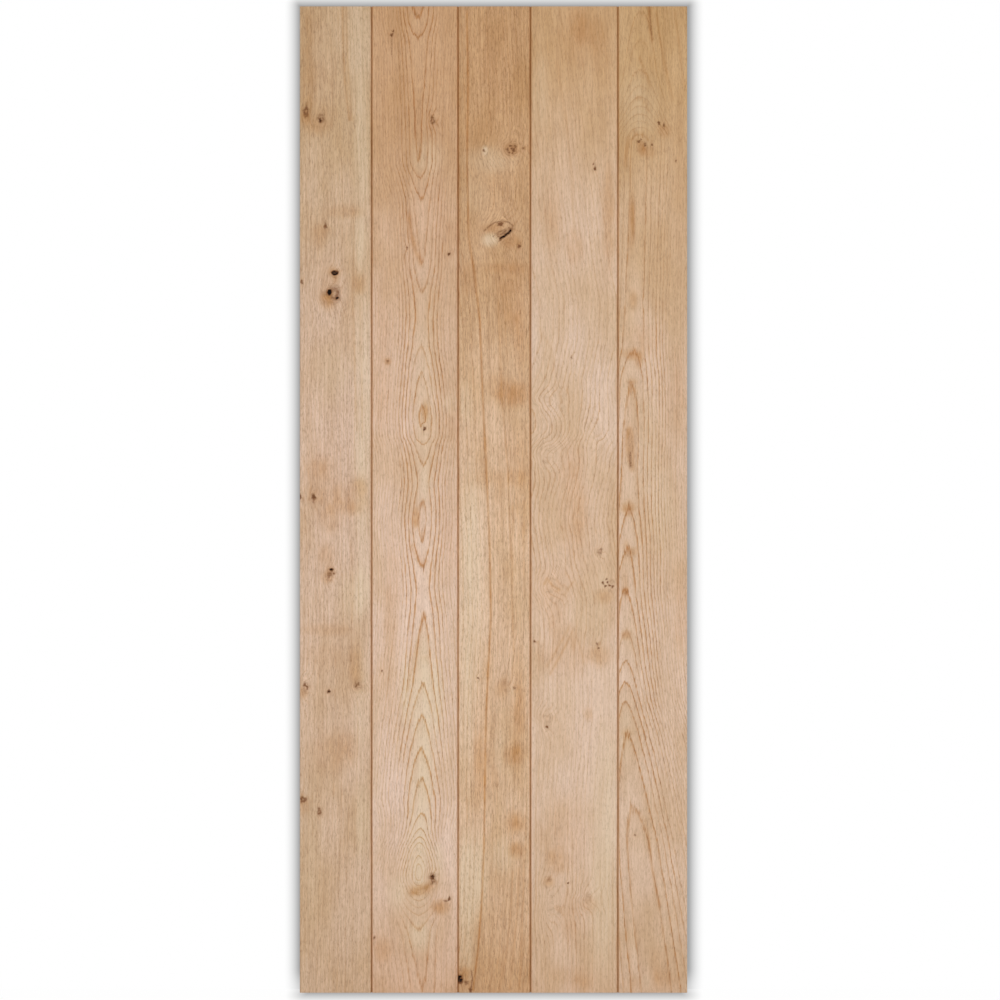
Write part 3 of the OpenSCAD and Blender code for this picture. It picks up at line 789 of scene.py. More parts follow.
# Noise of the fine grain and of what breaks up the marks. A pair holds the noise at which a span
# starts and ends, and four values add what the span gives there.
STREAK, FIBRE, THREAD_NOISE = Noise(210.0, 5.0, 3.0, 0.6), Noise(640.0, 58.0, 3.0, 0.65), (0.3, 0.7)
PORE, PORE_NOISE = Noise(640.0, 130.0, 2.0, 0.6), (0.5, 0.68)
CLOUD, CLOUD_NOISE = Noise(15.0, 6.0), (0.3, 0.72)
STAIN_BREAK, STAIN_SPAN = Noise(70.0, 26.0, 3.0, 0.6), (0.3, 0.7, 0.55, 1.0)
KNOT_RAGS, KNOT_SPAN = Noise(340.0, 260.0, 3.0, 0.65), (0.34, 0.66, 0.75, 1.25)
SAPWOOD_SPAN, SAPWOOD_COVER = (0.3, 0.7, 0.6, 1.2), 0.7

# Spans of a knot's darkness over which the wood turns brown, then black.
KNOT_BROWN, KNOT_BLACK = (0.04, 0.55, 0.0, 0.95), (0.62, 0.9, 0.0, 1.0)

# Strength of the pores between ring lines. Those in a line have full strength.
PLAIN_PORES = 0.55

# What pores and fibres add to the roughness, the gloss of the wood and what a knot takes from it.
PORE_ROUGH, FIBRE_ROUGH = 0.12, 0.1
GLOSS, KNOT_GLOSS = 0.35, 0.3

# How far pores and ring lines sink below the fibres, and the strength and height of the relief.
PORE_SINK, LINE_SINK = 0.6, 0.3
RELIEF, RELIEF_HEIGHT = 0.35, 0.2 * MM

# Clouds on the screws' plating, and the spans of its brightness and roughness.
PLATING = Noise(900.0, 900.0, 3.0)
PLATING_SHADE, PLATING_ROUGH = (0.3, 0.7, 0.75, 1.05), (0.3, 0.7, 0.28, 0.45)


def ring_lines(w, grain, sapwood):
    """Strength of the ring lines. The hypotenuse of the two distances to the pith gives the ring
    number. A slow sway moves it across, and fine teeth along the grain break its arches. A line lies
    where that number is whole: its distance either way, over the pace, keeps it as thin on an arch
    as along its sides. Each ring draws its own strength by lot."""
    across, deep, number = w.split(w.field("pith"))
    sway = w.math("ADD", w.wander(grain, SWAY, SWAY_WIDTH), w.wander(grain, RIPPLE, RIPPLE_WIDTH))
    across = w.math("ADD", across, sway)
    reach = w.math("SQRT", w.math("MULTIPLY_ADD", across, across, w.math("MULTIPLY", deep, deep)))
    ring = w.math("ADD", w.math("ADD", reach, number), w.wander(grain, TOOTH, TOOTH_WIDTH))
    whole = w.math("FLOOR", ring)
    through = w.math("SUBTRACT", ring, whole)
    pace = w.field("pace", "Fac")
    up_to = w.math("DIVIDE", w.math("SUBTRACT", 1.0, through), pace)
    past = w.math("DIVIDE", through, pace)
    line = w.math("MAXIMUM", w.span(up_to, *LINE_UP_TO), w.span(past, *LINE_PAST))
    line = w.math("MULTIPLY_ADD", w.math("POWER", through, LATE_POWER), LATE_WOOD, line)

    lot = w.add("ShaderNodeTexWhiteNoise", {"W": whole}, noise_dimensions="1D").outputs[0]
    strength = w.math("MULTIPLY_ADD", lot, RING_LOT, RING_LEAST)
    strength = w.math("MULTIPLY", strength, w.field("line", "Fac"))
    strength = w.math("MULTIPLY", strength, w.span(w.noise(grain, FADING), *FADING_SPAN))
    plain = w.math("MULTIPLY_ADD", sapwood, -SAPWOOD_LOSS, 1.0)
    return w.math("MULTIPLY", w.math("MULTIPLY", line, strength), plain, clamp=True)


def oak(name, finish, pale, warm, grain_strength=1.0):
    """Oiled oak that follows the wood fields: a tone between pale and warm, which on the boards also
    paints shade towards their tops and feet, under layers of threads along the grain, golden clouds,
    sapwood, ring lines, pores, stains, knots and a painted shade down in a V joint. Pores and fibres
    roughen it, and pores and ring lines sink into it."""
    material = bpy.data.materials.new(name)
    w = Wiring(material)
    grain = w.field("grain")
    knot, stain, sapwood = w.split(w.field("marks"))
    line = ring_lines(w, grain, sapwood)

    streak = w.noise(grain, STREAK)
    fibre = w.noise(grain, FIBRE)
    threads = w.math("ADD", w.span(streak, *THREAD_NOISE, finish.streak * grain_strength, 0.0),
                     w.span(fibre, *THREAD_NOISE, finish.fibre * grain_strength, 0.0))
    cloud = w.span(w.noise(grain, CLOUD), *CLOUD_NOISE, 0.0, finish.cloud)
    pore = w.span(w.noise(grain, PORE), *PORE_NOISE)
    pore = w.math("MULTIPLY", pore, w.math("MULTIPLY_ADD", line, 1 - PLAIN_PORES, PLAIN_PORES))
    sapwood = w.math("MULTIPLY", sapwood, w.span(streak, *SAPWOOD_SPAN), clamp=True)
    stain = w.math("MULTIPLY", stain, w.span(w.noise(grain, STAIN_BREAK), *STAIN_SPAN), clamp=True)
    knot = w.math("MULTIPLY", knot, w.span(w.noise(grain, KNOT_RAGS), *KNOT_SPAN), clamp=True)

    layers = (
        (threads, finish.thread, "MULTIPLY"),
        (cloud, finish.gold, "MULTIPLY"),
        (w.math("MULTIPLY", sapwood, SAPWOOD_COVER), finish.sapwood, "MIX"),
        (line, finish.ring_line, "MULTIPLY"),
        (w.math("MULTIPLY", pore, finish.pores * grain_strength), finish.pore, "MULTIPLY"),
        (stain, finish.stain, "MULTIPLY"),
        (w.span(knot, *KNOT_BROWN), finish.knot_brown, "MIX"),
        (w.span(knot, *KNOT_BLACK), finish.knot_black, "MIX"),
        # Painted shade: wood down in a V joint is darkened by its depth under the nearer face.
        (w.field("groove", "Fac"), finish.groove, "MULTIPLY"),
    )
    # Pale to warm: the wood's own tone, and on the boards also painted shade towards their tops and
    # feet.
    tone = w.blend(w.field("warmth_and_shade", "Fac"), (*pale, 1), (*warm, 1))
    for cover, tint, mode in layers:
        tone = w.blend(cover, tone, (*tint, 1), mode)

    rough = w.math("MULTIPLY_ADD", fibre, FIBRE_ROUGH, finish.roughness - FIBRE_ROUGH / 2)
    rough = w.math("MULTIPLY_ADD", pore, PORE_ROUGH, rough)
    gloss = w.math("MULTIPLY_ADD", knot, -KNOT_GLOSS, GLOSS, clamp=True)
    height = w.math("MULTIPLY_ADD", line, -LINE_SINK, fibre)
    height = w.math("MULTIPLY_ADD", pore, -PORE_SINK, height)
    relief = w.add("ShaderNodeBump", {"Height": height, "Strength": RELIEF, "Distance": RELIEF_HEIGHT})
    inputs = w.nodes["Principled BSDF"].inputs
    w.feed(inputs["Base Color"], tone)
    w.feed(inputs["Roughness"], rough)
    w.feed(inputs["Specular IOR Level"], gloss)
    w.feed(inputs["Normal"], relief.outputs[0])
    return material


def zinc_steel(name, tint):
    """Zinc-plated steel: a dull pale metal, clouded by noise on the piece's own coordinates."""
    material = bpy.data.materials.new(name)
    w = Wiring(material)
    cloud = w.noise(w.add("ShaderNodeTexCoord").outputs["Object"], PLATING)
    shade = w.span(cloud, *PLATING_SHADE)
    grey = w.add("ShaderNodeCombineXYZ", {0: shade, 1: shade, 2: shade}).outputs[0]
    inputs = w.nodes["Principled BSDF"].inputs
    w.feed(inputs["Base Color"], w.blend(1.0, (*tint, 1), grey, "MULTIPLY"))
    w.feed(inputs["Roughness"], w.span(cloud, *PLATING_ROUGH))
    inputs["Metallic"].default_value = 1.0
    return material


# Settings

def size(label, words, millimetres):
    """A length that a user may set, given here in millimetres."""
    return FloatProperty(name=label, description=words, default=millimetres * MM, min=0, unit="LENGTH",
                         subtype="DISTANCE")


def colour(label, words, *screen):
    """A colour that a user may set, given here as 8 bit screen red, green and blue."""
    return FloatVectorProperty(name=label, description=words, default=srgb(*screen), min=0, max=1,
                               subtype="COLOR", size=3)


def share(label, words, value):
    """A strength that a user may set: 1 is full, and more is stronger still."""
    return FloatProperty(name=label, description=words, default=value, min=0, max=4)


def power(label, words, watts):
    """A lamp's power that a user may set, in watts."""
    return FloatProperty(name=label, description=words, default=watts, unit="POWER")


class DoorSizes(bpy.types.PropertyGroup):
    """Sizes of the leaf's joinery that the boxes of the CAD nodes don't give."""
    vee: size("V joint", "Chamfer on each arris of a V joint", 2.5)
    arris: size("Arris", "Chamfer on the leaf's two outer edges", 1.0)
    eased: size("Eased edge", "Radius that every sharp edge is rubbed down to", 0.4)
    tongue: size("Tongue", "Thickness of a tongue", 6.0)
    tongue_tip: size("Tongue tip", "Chamfer on a tongue's tip", 0.8)
    tongue_fit: size("Tongue fit", "Clearance on each face of a tongue", 0.15)
    board_gap: size("Board gap", "Gap between the shoulders of neighbouring boards", 0.5)
    groove_spare: size("Groove spare", "Clearance past a tongue's tip", 1.0)
    bevel: size("Bevel", "Bevel round the back of a ledge and along a brace", 6.0)
    brace_width: size("Brace width", "Width of a brace", 110.0)
    notch_fit: size("Notch fit", "Clearance round a brace's toe in its notch", 0.2)
    screw_edge: size("Screw edge", "From a board's edge to its nearest screws", 40.0)
    stagger: size("Stagger", "Rise of a brace's screws above and below its centre line", 30.0)
    plug_width: size("Plug width", "Diameter of a plug's face", 10.0)
    plug_taper: size("Plug taper", "Amount by which a plug narrows to its inner end", 0.4)
    plug_dome: size("Plug dome", "Rise of a pared plug's middle above the timber round it", 0.15)


class OakFinish(bpy.types.PropertyGroup):
    """Colours and strengths of the oiled oak."""
    board_1_pale: colour("Board 1 pale", "Palest tone of the first board", 227, 199, 178)
    board_1_warm: colour("Board 1 warm", "Warmest tone of the first board", 219, 190, 158)
    board_2_pale: colour("Board 2 pale", "Palest tone of the second board", 236, 210, 192)
    board_2_warm: colour("Board 2 warm", "Warmest tone of the second board", 214, 173, 133)
    board_3_pale: colour("Board 3 pale", "Palest tone of the third board", 235, 206, 178)
    board_3_warm: colour("Board 3 warm", "Warmest tone of the third board", 214, 173, 129)
    board_4_pale: colour("Board 4 pale", "Palest tone of the fourth board", 231, 205, 184)
    board_4_warm: colour("Board 4 warm", "Warmest tone of the fourth board", 216, 179, 138)
    board_5_pale: colour("Board 5 pale", "Palest tone of the fifth board", 229, 202, 180)
    board_5_warm: colour("Board 5 warm", "Warmest tone of the fifth board", 213, 176, 130)
    frame_pale: colour("Back pale", "Palest tone of the ledges and braces", 224, 192, 163)
    frame_warm: colour("Back warm", "Warmest tone of the ledges and braces", 207, 166, 127)
    plug_pale: colour("Plug pale", "Palest tone of the plugs", 199, 160, 120)
    plug_warm: colour("Plug warm", "Warmest tone of the plugs", 169, 124, 84)
    sapwood: colour("Sapwood", "Pale wood along some edges", 222, 201, 172)
    ring_line: colour("Ring line", "Tint of a ring line over the wood", 223, 193, 150)
    thread: colour("Thread", "Tint of the darker fibres over the wood", 204, 189, 172)
    pore: colour("Pore", "Tint of the pores over the wood", 190, 175, 158)
    stain: colour("Stain", "Tint of the stained wood round knots", 224, 190, 130)
    gold: colour("Gold", "Tint of the broad golden patches", 232, 220, 190)
    # Painted shade: the tint that darkens the wood by its depth down in a V joint.
    groove: colour("Groove", "Tint of the wood down in a V joint", 230, 200, 164)
    knot_brown: colour("Knot brown", "Colour of a knot's rim", 118, 74, 42)
    knot_black: colour("Knot black", "Colour of an open knot", 18, 10, 6)
    steel: colour("Steel", "Colour of the plated screws", 205, 200, 184)
    streak: share("Streaks", "Strength of the long streaks", 0.2)
    fibre: share("Fibres", "Strength of the fine fibres", 0.34)
    cloud: share("Clouds", "Strength of the broad golden patches", 0.6)
    pores: share("Pores", "Strength of the pores", 0.56)
    roughness: share("Roughness", "Roughness of the matt oil", 0.58)


class StageLook(bpy.types.PropertyGroup):
    """Camera, light and ground of the plain stage."""
    lens: FloatProperty(name="Lens", description="Focal length on a 36 mm sensor", default=100,
                        unit="CAMERA")
    ground: colour("Ground", "Colour of the matt floor", 246, 246, 246)
    key_power: power("Key power", "Power of the front lamp", 82)
    back_power: power("Back power", "Power of the rear lamp", 75)
    sky: share("Sky", "Strength of the even light from all round", 0.46)


# Boards

# Pixels between mesh lines across a board's face and along it, and pieces of its back and its edges.
FACE_STEP, ALONG_STEP = 1.2, 4.0
BACK_STEPS, EDGE_STEPS = 24, 2

# Knots fainter than this only bend the grain, and need no finer mesh.
LEAST_DARK = 0.1


def photo_place(x, z):
    """Photo pixels of points on the leaf, from metres across and up the front."""
    return (PHOTO_LEFT + PHOTO_RIGHT) / 2 + x / PIXEL, PHOTO_BOTTOM - z / PIXEL


def leaf_points():
    """Boards' left and right shoulders, and the front, back and height of the boards, in metres."""
    sizes = bpy.context.scene.door_sizes
    boxes = [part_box(n) for n in BOARDS]
    lefts = [low.x for low, _ in boxes]
    rights = [left - sizes.board_gap for left in lefts[1:]] + [boxes[-1][1].x]
    return lefts, rights, boxes[0][0].y, boxes[0][1].y, boxes[0][1].z


class BoardSection(NamedTuple):
    """Corners (x, y) of a board's section, the ends of its face and the number of its back side."""
    corners: np.ndarray
    low_x: float
    high_x: float
    back_side: int


def board_section(name, place):
    """A board's section, which runs along the front, round the tongue or the plain edge, along the
    back and round the groove or the other plain edge. The groove is cut a little past the tip of
    the tongue that goes into it."""
    sizes = bpy.context.scene.door_sizes
    lefts, rights, front, back, _ = leaf_points()
    left, right = lefts[place], rights[place]
    first, last = place == 0, place == len(BOARDS) - 1
    low_chamfer = sizes.arris if first else sizes.vee
    high_chamfer = sizes.arris if last else sizes.vee
    low_x, high_x = left + low_chamfer, right - high_chamfer
    middle = (front + back) / 2

    edge = [(right, front + high_chamfer), (right, back - high_chamfer)]
    if not last:
        end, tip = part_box(name)[1].x, sizes.tongue_tip
        low, high = middle - sizes.tongue / 2, middle + sizes.tongue / 2
        edge[1:1] = [(right, low), (end - tip, low), (end, low + tip),
                     (end, high - tip), (end - tip, high), (right, high)]
    far_edge = [(left, back - low_chamfer), (left, front + low_chamfer)]
    if not first:
        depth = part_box(BOARDS[place - 1])[1].x + sizes.groove_spare
        half = sizes.tongue / 2 + sizes.tongue_fit
        low, high = middle - half, middle + half
        far_edge[1:1] = [(left, high), (depth, high), (depth, low), (left, low)]
    face = [(low_x, front), (high_x, front)]
    rear = [(high_x, back), (low_x, back)]
    return BoardSection(np.array(face + edge + rear + far_edge), low_x, high_x, len(face + edge))


def board_mesh(name, place):
    """One board as a section carried up Z. The open knots are pressed into the front, and the ends
    are eased by drawing the first and last outline in. Wood down in a V joint gets a painted shade by
    its depth under the nearer face."""
    sizes = bpy.context.scene.door_sizes
    figure = BOARD_FIGURES[name]
    section = board_section(name, place)
    _, _, front, back, top = leaf_points()
    marked = [k for k in figure.knots if k.dark > LEAST_DARK]

    ends = np.array([section.low_x + sizes.eased, section.high_x - sizes.eased])
    x_low, x_high = photo_place(ends, 0)[0]
    across = close_lines(x_low, x_high, FACE_STEP, [(k.x, k.wide) for k in marked])
    sides = [even_steps(EDGE_STEPS)] * len(section.corners)
    sides[0] = ((across - x_low) / (x_high - x_low))[1:-1]
    sides[section.back_side] = even_steps(BACK_STEPS)
    outline = eased_outline(section.corners, sizes.eased, sides)

    y_top, y_low = photo_place(0, np.array([top - sizes.eased, sizes.eased]))[1]
    along = close_lines(y_top, y_low, ALONG_STEP, [(k.y, k.tall) for k in marked])
    heights = np.concatenate([[0], ((PHOTO_BOTTOM - along) * PIXEL)[::-1], [top]])
    points = np.empty((len(heights), len(outline), 3))
    points[..., :2] = outline
    points[[0, -1], :, :2] = inset(outline, sizes.eased)
    points[..., 2] = heights[:, None]
    x, y = photo_place(points[..., 0], points[..., 2])
    points[..., 1] += knot_pits(figure, x, y) * (points[..., 1] < front + sizes.eased)
    mesh = swept_mesh(name, points[None])

    depth = points[..., 1] - front
    fields, lean = figure_fields(figure, x, y, depth / PIXEL)
    swing = np.stack([-lean * PIXEL, np.full_like(lean, place), np.zeros_like(lean)], axis=-1)
    jointed_left = (points[..., 0] < section.low_x) & (place > 0)
    jointed_right = (points[..., 0] > section.high_x) & (place < len(BOARDS) - 1)
    sunk = np.clip(np.minimum(depth, back - points[..., 1]) / sizes.vee, 0, 1)
    # Painted shade down in the V joints, by depth under the nearer face; none on the leaf's outer
    # edges.
    groove = sunk * (jointed_left | jointed_right)
    add_fields(mesh, {**fields, "grain": points + swing, "groove": groove})
    return mesh


class DOOR_OT_boards(bpy.types.Operator):
    """Makes the five boards of the leaf, each with its own figure"""
    bl_idname = "oak_door.boards"
    bl_label = "Boards"

    def execute(self, context):
        finish = context.scene.oak_finish
        for place, name in enumerate(BOARDS):
            pale, warm = getattr(finish, f"{name}_pale"), getattr(finish, f"{name}_warm")
            material = oak(f"{name}_oak", finish, pale, warm, BOARD_FIGURES[name].fibre)
            add_piece(f"{name}_figured", board_mesh(name, place), material, f"{name}_oak", name)
        return {"FINISHED"}


# Ledges and braces

# Pieces of a bar's back, of its edges, of its bevels and of its front, and pixels between its rows.
BAR_BACK_STEPS, BAR_EDGE_STEPS, BAR_BEVEL_STEPS, BAR_FRONT_STEPS = 40, 3, 2, 12
BAR_STEP = 4.0


class BraceLie(NamedTuple):
    """How a brace lies between its two ledges: its middle, half span, rise, slope and toe."""
    middle: float
    heel: float
    rise: float
    slope: float
    toe: float


def brace_lie(name):
    """The lie of a brace from the boxes of the CAD nodes. Its slope is that of the line between its
    heel and its head, turned by the angle that its width takes up on that line."""
    below, above = BRACES[name]
    low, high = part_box(below)[1].z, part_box(above)[0].z
    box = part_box(name)
    heel, rise = box[1].x, high - low
    turn = math.asin(bpy.context.scene.door_sizes.brace_width / math.hypot(rise, 2 * heel))
    toe = (box[1].z - box[0].z - rise) / 2
    return BraceLie((low + high) / 2, heel, rise, math.atan2(rise, 2 * heel) + turn, toe)


def notch_corners(brace):
    """Corners, as three x and three depths, of the notch that a brace's toe is let into along the
    lower ledge's edge: down the thrust face from heel to toe, then back along the toe to where the
    brace's other edge leaves the ledge."""
    sizes = bpy.context.scene.door_sizes
    lie = brace_lie(brace)
    heel = -lie.heel - sizes.notch_fit
    depth = lie.toe + sizes.notch_fit
    toe = heel + depth * math.tan(lie.slope)
    root = -lie.heel + sizes.brace_width / math.sin(lie.slope) + sizes.notch_fit
    return np.array([heel, toe, root]), np.array([0, depth, 0])


def bar_outline(half, back, thick, low_notch, high_notch, back_shares):
    """Sections of a bevelled bar as [row, point, (y, v)], from the boards at y = 0 to the back, half
    a width either side of v = 0. Each long edge is the greater of its notch and its bevel, measured
    in from the edge."""
    sizes = bpy.context.scene.door_sizes
    start = thick - sizes.bevel
    room = back - start

    def long_edge(notch, inward):
        """Three corners of one long edge, from the boards to the back."""
        turn = start - sizes.eased + np.minimum(notch, room)
        v = inward * (notch - half)
        return [(0 * back, v), (turn, v), (back, inward * (np.maximum(notch, room) - half))]

    corners = long_edge(low_notch, 1) + long_edge(high_notch, -1)[::-1]
    corners = np.stack([np.stack(c, axis=-1) for c in corners], axis=-2)
    edge, bevel, front = (even_steps(n) for n in (BAR_EDGE_STEPS, BAR_BEVEL_STEPS, BAR_FRONT_STEPS))
    return eased_outline(corners, sizes.eased, [edge, bevel, back_shares, bevel, edge, front])


def bar_rows(figure, end):
    """Places of a bar's rows along it, out to an end on both sides, closer together at its knots."""
    spots = [(k.y, k.tall) for k in figure.knots]
    return close_lines(-end / PIXEL, end / PIXEL, BAR_STEP, spots) * PIXEL


def bar_pits(figure, along, across, y, thick):
    """Depth of the open knots on a bar's back, and none on its other faces."""
    on_back = y > thick - bpy.context.scene.door_sizes.eased
    return knot_pits(figure, across / PIXEL, along / PIXEL) * on_back


def timber_fields(mesh, figure, along, across, depth, seed):
    """Gives a bar's points their wood fields, with the grain along the bar."""
    fields, lean = figure_fields(figure, across / PIXEL, along / PIXEL, depth / PIXEL)
    grain = np.stack([across - lean * PIXEL, depth + seed, along], axis=-1)
    add_fields(mesh, {**fields, "grain": grain})


def ledge_mesh(name, seed):
    """A ledge: bevelled sections carried along X. Its back drops to the bevel at the two ends, and
    its edges are notched for the toes of the braces: the upper edge for the brace above it, and the
    lower edge for the brace below it, turned half round."""
    sizes = bpy.context.scene.door_sizes
    figure = LEDGE_FIGURES[name]
    low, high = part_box(name)
    half, thick, tall = high.x, high.y - low.y, high.z - low.z
    notches = {}
    for brace, (below, above) in BRACES.items():
        if name in (below, above):
            notches[1 if name == below else -1] = notch_corners(brace)

    flat = half - sizes.bevel
    breaks = [turn * x for turn, (x, _) in notches.items()]
    rows = np.unique(np.concatenate([bar_rows(figure, half - sizes.eased), *breaks, [-flat, flat]]))
    rows = np.concatenate([[-half], rows, [half]])
    upper, lower = (np.interp(turn * rows, *notches[turn]) if turn in notches else 0 * rows
                    for turn in (1, -1))
    back = thick - np.maximum(0, np.abs(rows) - flat)
    outline = bar_outline(tall / 2, back, thick, lower, upper, even_steps(BAR_BACK_STEPS))
    outline[[0, -1]] = inset(outline[[0, -1]], sizes.eased)

    y, across = outline[..., 0], outline[..., 1]
    along = np.broadcast_to(rows[:, None], y.shape)
    pits = bar_pits(figure, along, across, y, thick)
    points = np.stack([along, low.y + y - pits, (low.z + high.z) / 2 + across], axis=-1)
    mesh = swept_mesh(name, points[None])
    timber_fields(mesh, figure, along, across, thick - y, seed)
    return mesh


class DOOR_OT_ledges(bpy.types.Operator):
    """Makes the three bevelled ledges across the back, notched for the braces"""
    bl_idname = "oak_door.ledges"
    bl_label = "Ledges"

    def execute(self, context):
        finish = context.scene.oak_finish
        for seed, name in enumerate(LEDGES, start=len(BOARDS)):
            material = oak(f"{name}_oak", finish, finish.frame_pale, finish.frame_warm)
            add_piece(f"{name}_figured", ledge_mesh(name, seed), material, "ledge_oak", name)
        return {"FINISHED"}


def brace_section(thick, bend):
    """A brace's outline as (y, v) points, with points on its front and its back at the two bends of
    its ends, and which of the points lie on the front."""
    sizes = bpy.context.scene.door_sizes
    half = sizes.brace_width / 2
    edge = half - sizes.bevel - sizes.eased
    back_v = np.unique(np.concatenate([np.linspace(-edge, edge, BAR_BACK_STEPS), [-bend, bend]]))
    shares = ((back_v + edge) / (2 * edge))[1:-1]
    none = np.zeros(1)
    outline = bar_outline(half, none + thick, thick, none, none, shares)[0]
    front = outline[:, 0] < sizes.eased
    for v in (-bend, bend):
        nearest = np.argmin(np.where(front, np.abs(outline[:, 1] - v), np.inf))
        outline[nearest, 1] = v
    return outline, front


def end_caps(outline, front, v):
    """Two polygons of columns that close a brace's end, which folds along the line at v."""
    columns = np.arange(len(outline))
    folded = np.isclose(outline[:, 1], v)
    behind = columns[folded & ~front][0]
    ahead = columns[folded & front][0]
    return [columns[behind:ahead + 1], np.concatenate([columns[ahead:], columns[:behind + 1]])]


def brace_mesh(name, seed):
    """A brace: one bevelled section carried along its own line u, with v square to it. Each end is
    square to the line for the thrust face, then runs back along the toe; the far end is the near
    end turned half round."""
    sizes = bpy.context.scene.door_sizes
    figure = BRACE_FIGURES[name]
    lie = brace_lie(name)
    low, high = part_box(name)
    thick, half = high.y - low.y, sizes.brace_width / 2
    cos, sin = math.cos(lie.slope), math.sin(lie.slope)
    heel = -lie.heel * cos - lie.rise / 2 * sin
    bend = half - lie.toe / cos
    root = heel + sizes.brace_width / math.tan(lie.slope)
    outline, front = brace_section(thick, bend)

    length = 2 * abs(heel)
    eased = sizes.eased / length
    inner = (bar_rows(figure, length / 2) / length + 0.5)[1:-1]
    shares = np.concatenate([[0, eased], inner, [1 - eased, 1]])
    section = np.broadcast_to(outline, (len(shares), *outline.shape)).copy()
    section[[0, -1]] = inset(outline, sizes.eased)
    y, across = section[..., 0], section[..., 1]
    near = np.interp(across, [-half, bend, half], [root, heel, heel])
    far = -np.interp(-across, [-half, bend, half], [root, heel, heel])
    along = near + (far - near) * shares[:, None]
    pits = bar_pits(figure, along, across, y, thick)
    points = np.stack([along * cos - across * sin, low.y + y - pits,
                       lie.middle + along * sin + across * cos], axis=-1)
    caps = (end_caps(outline, front, v) for v in (bend, -bend))
    mesh = swept_mesh(name, points[None], *caps)
    timber_fields(mesh, figure, along, across, thick - y, seed)
    return mesh


class DOOR_OT_braces(bpy.types.Operator):
    """Makes the two braces, with their toes let into the ledges"""
    bl_idname = "oak_door.braces"
    bl_label = "Braces"

    def execute(self, context):
        finish = context.scene.oak_finish
        for seed, name in enumerate(BRACES, start=len(BOARDS) + len(LEDGES)):
            material = oak(f"{name}_oak", finish, finish.frame_pale, finish.frame_warm)
            add_piece(f"{name}_figured", brace_mesh(name, seed), material, "brace_oak", name)
        return {"FINISHED"}


# Screws and plugs

# Facets round a plug, rings on its face and the smallest ring's share of the face.
PLUG_SIDES, PLUG_RINGS, PLUG_HUB = 32, 6, 0.12

# Ring widths from a plug to its pith, strength of its ring lines, and the step in ring and tone from
# one plug to the next. The plugs' noise starts at a seed past those of the other timbers.
PLUG_PITH, PLUG_LINE, PLUG_STEP = 6.0, 0.8, 0.37
PLUG_SEED = 20


def screw_places(timber):
    """Places (x, z) of the screws of a ledge or a brace: two to each board that it crosses, on
    either side of the timber's centre line."""
    sizes = bpy.context.scene.door_sizes
    lefts, rights = (np.array(shoulders) for shoulders in leaf_points()[:2])
    sides = np.array([-1, 1])
    if timber in BRACES:
        lie = brace_lie(timber)
        lefts, rights = lefts[1:-1], rights[1:-1]
        middle, rise, row = lie.middle, math.tan(lie.slope), sizes.stagger
    else:
        low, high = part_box(f"{timber}_plugs")
        middle, rise, row = (low.z + high.z) / 2, 0, (high.z - low.z - sizes.plug_width) / 2
    x = ((lefts + rights) / 2)[:, None] + sides * ((rights - lefts) / 2 - sizes.screw_edge)[:, None]
    z = middle + x * rise + sides * row
    return np.stack([x.ravel(), z.ravel()], axis=-1)


def plug_mesh(timber, slope, seed):
    """The plugs of a timber: a profile of (radius, height) turned about Y at each screw. The face is
    a low dome whose rim is pared just under the timber, and the grain lies along the timber."""
    sizes = bpy.context.scene.door_sizes
    low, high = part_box(f"{timber}_plugs")
    radius, length = sizes.plug_width / 2, high.y - low.y
    rim = radius - sizes.eased
    inner = np.linspace(PLUG_HUB, 1, PLUG_RINGS) * rim
    dome = sizes.plug_dome * (1 - (inner / rim) ** 2)
    profile_r = np.concatenate([inner, [radius, radius - sizes.plug_taper / 2]])[::-1]
    profile_y = np.concatenate([dome, [-sizes.eased, -length]])[::-1]
    turn = np.linspace(0, 2 * math.pi, PLUG_SIDES, endpoint=False)
    along = profile_r[:, None] * np.cos(turn)
    across = profile_r[:, None] * np.sin(turn)
    cos, sin = math.cos(slope), math.sin(slope)
    spin = np.stack([along * cos - across * sin, high.y + profile_y[:, None] + 0 * along,
                     along * sin + across * cos], axis=-1)
    places = screw_places(timber)
    points = np.broadcast_to(spin, (len(places), *spin.shape)).copy()
    points[..., [0, 2]] += places[:, None, None]
    mesh = swept_mesh(f"{timber}_plugs", points)

    which = np.broadcast_to(np.arange(len(places))[:, None, None], points.shape[:-1])
    along, across = (np.broadcast_to(a, which.shape) for a in (along, across))
    ones = np.ones(which.shape)
    add_fields(mesh, {
        "pith": np.stack([across / PIXEL, PLUG_PITH * ones, PLUG_STEP * which], axis=-1),
        "marks": np.zeros(points.shape),
        "grain": np.stack([across + which, seed * ones, along], axis=-1),
        "warmth_and_shade": PLUG_STEP * which % 1,
        "line": PLUG_LINE * ones,
        "pace": ones,
    })
    return mesh


class DOOR_OT_plugs(bpy.types.Operator):
    """Makes the oak plugs over the screws, pared almost flush"""
    bl_idname = "oak_door.plugs"
    bl_label = "Plugs"

    def execute(self, context):
        finish = context.scene.oak_finish
        material = oak("plug_oak", finish, finish.plug_pale, finish.plug_warm)
        for seed, timber in enumerate((*LEDGES, *BRACES), start=PLUG_SEED):
            slope = brace_lie(timber).slope if timber in BRACES else 0
            mesh = plug_mesh(timber, slope, seed)
            add_piece(f"{timber}_pared_plugs", mesh, material, "plug_oak", f"{timber}_plugs")
        return {"FINISHED"}


class DOOR_OT_screws(bpy.types.Operator):
    """Plates the screws that hold the ledges and braces"""
    bl_idname = "oak_door.screws"
    bl_label = "Screws"

    def execute(self, context):
        material = zinc_steel("screw_steel", context.scene.oak_finish.steel)
        for timber in (*LEDGES, *BRACES):
            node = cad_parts[f"{timber}_screws"]
            node.data.materials.clear()
            node.data.materials.append(material)
        return {"FINISHED"}


# Stage

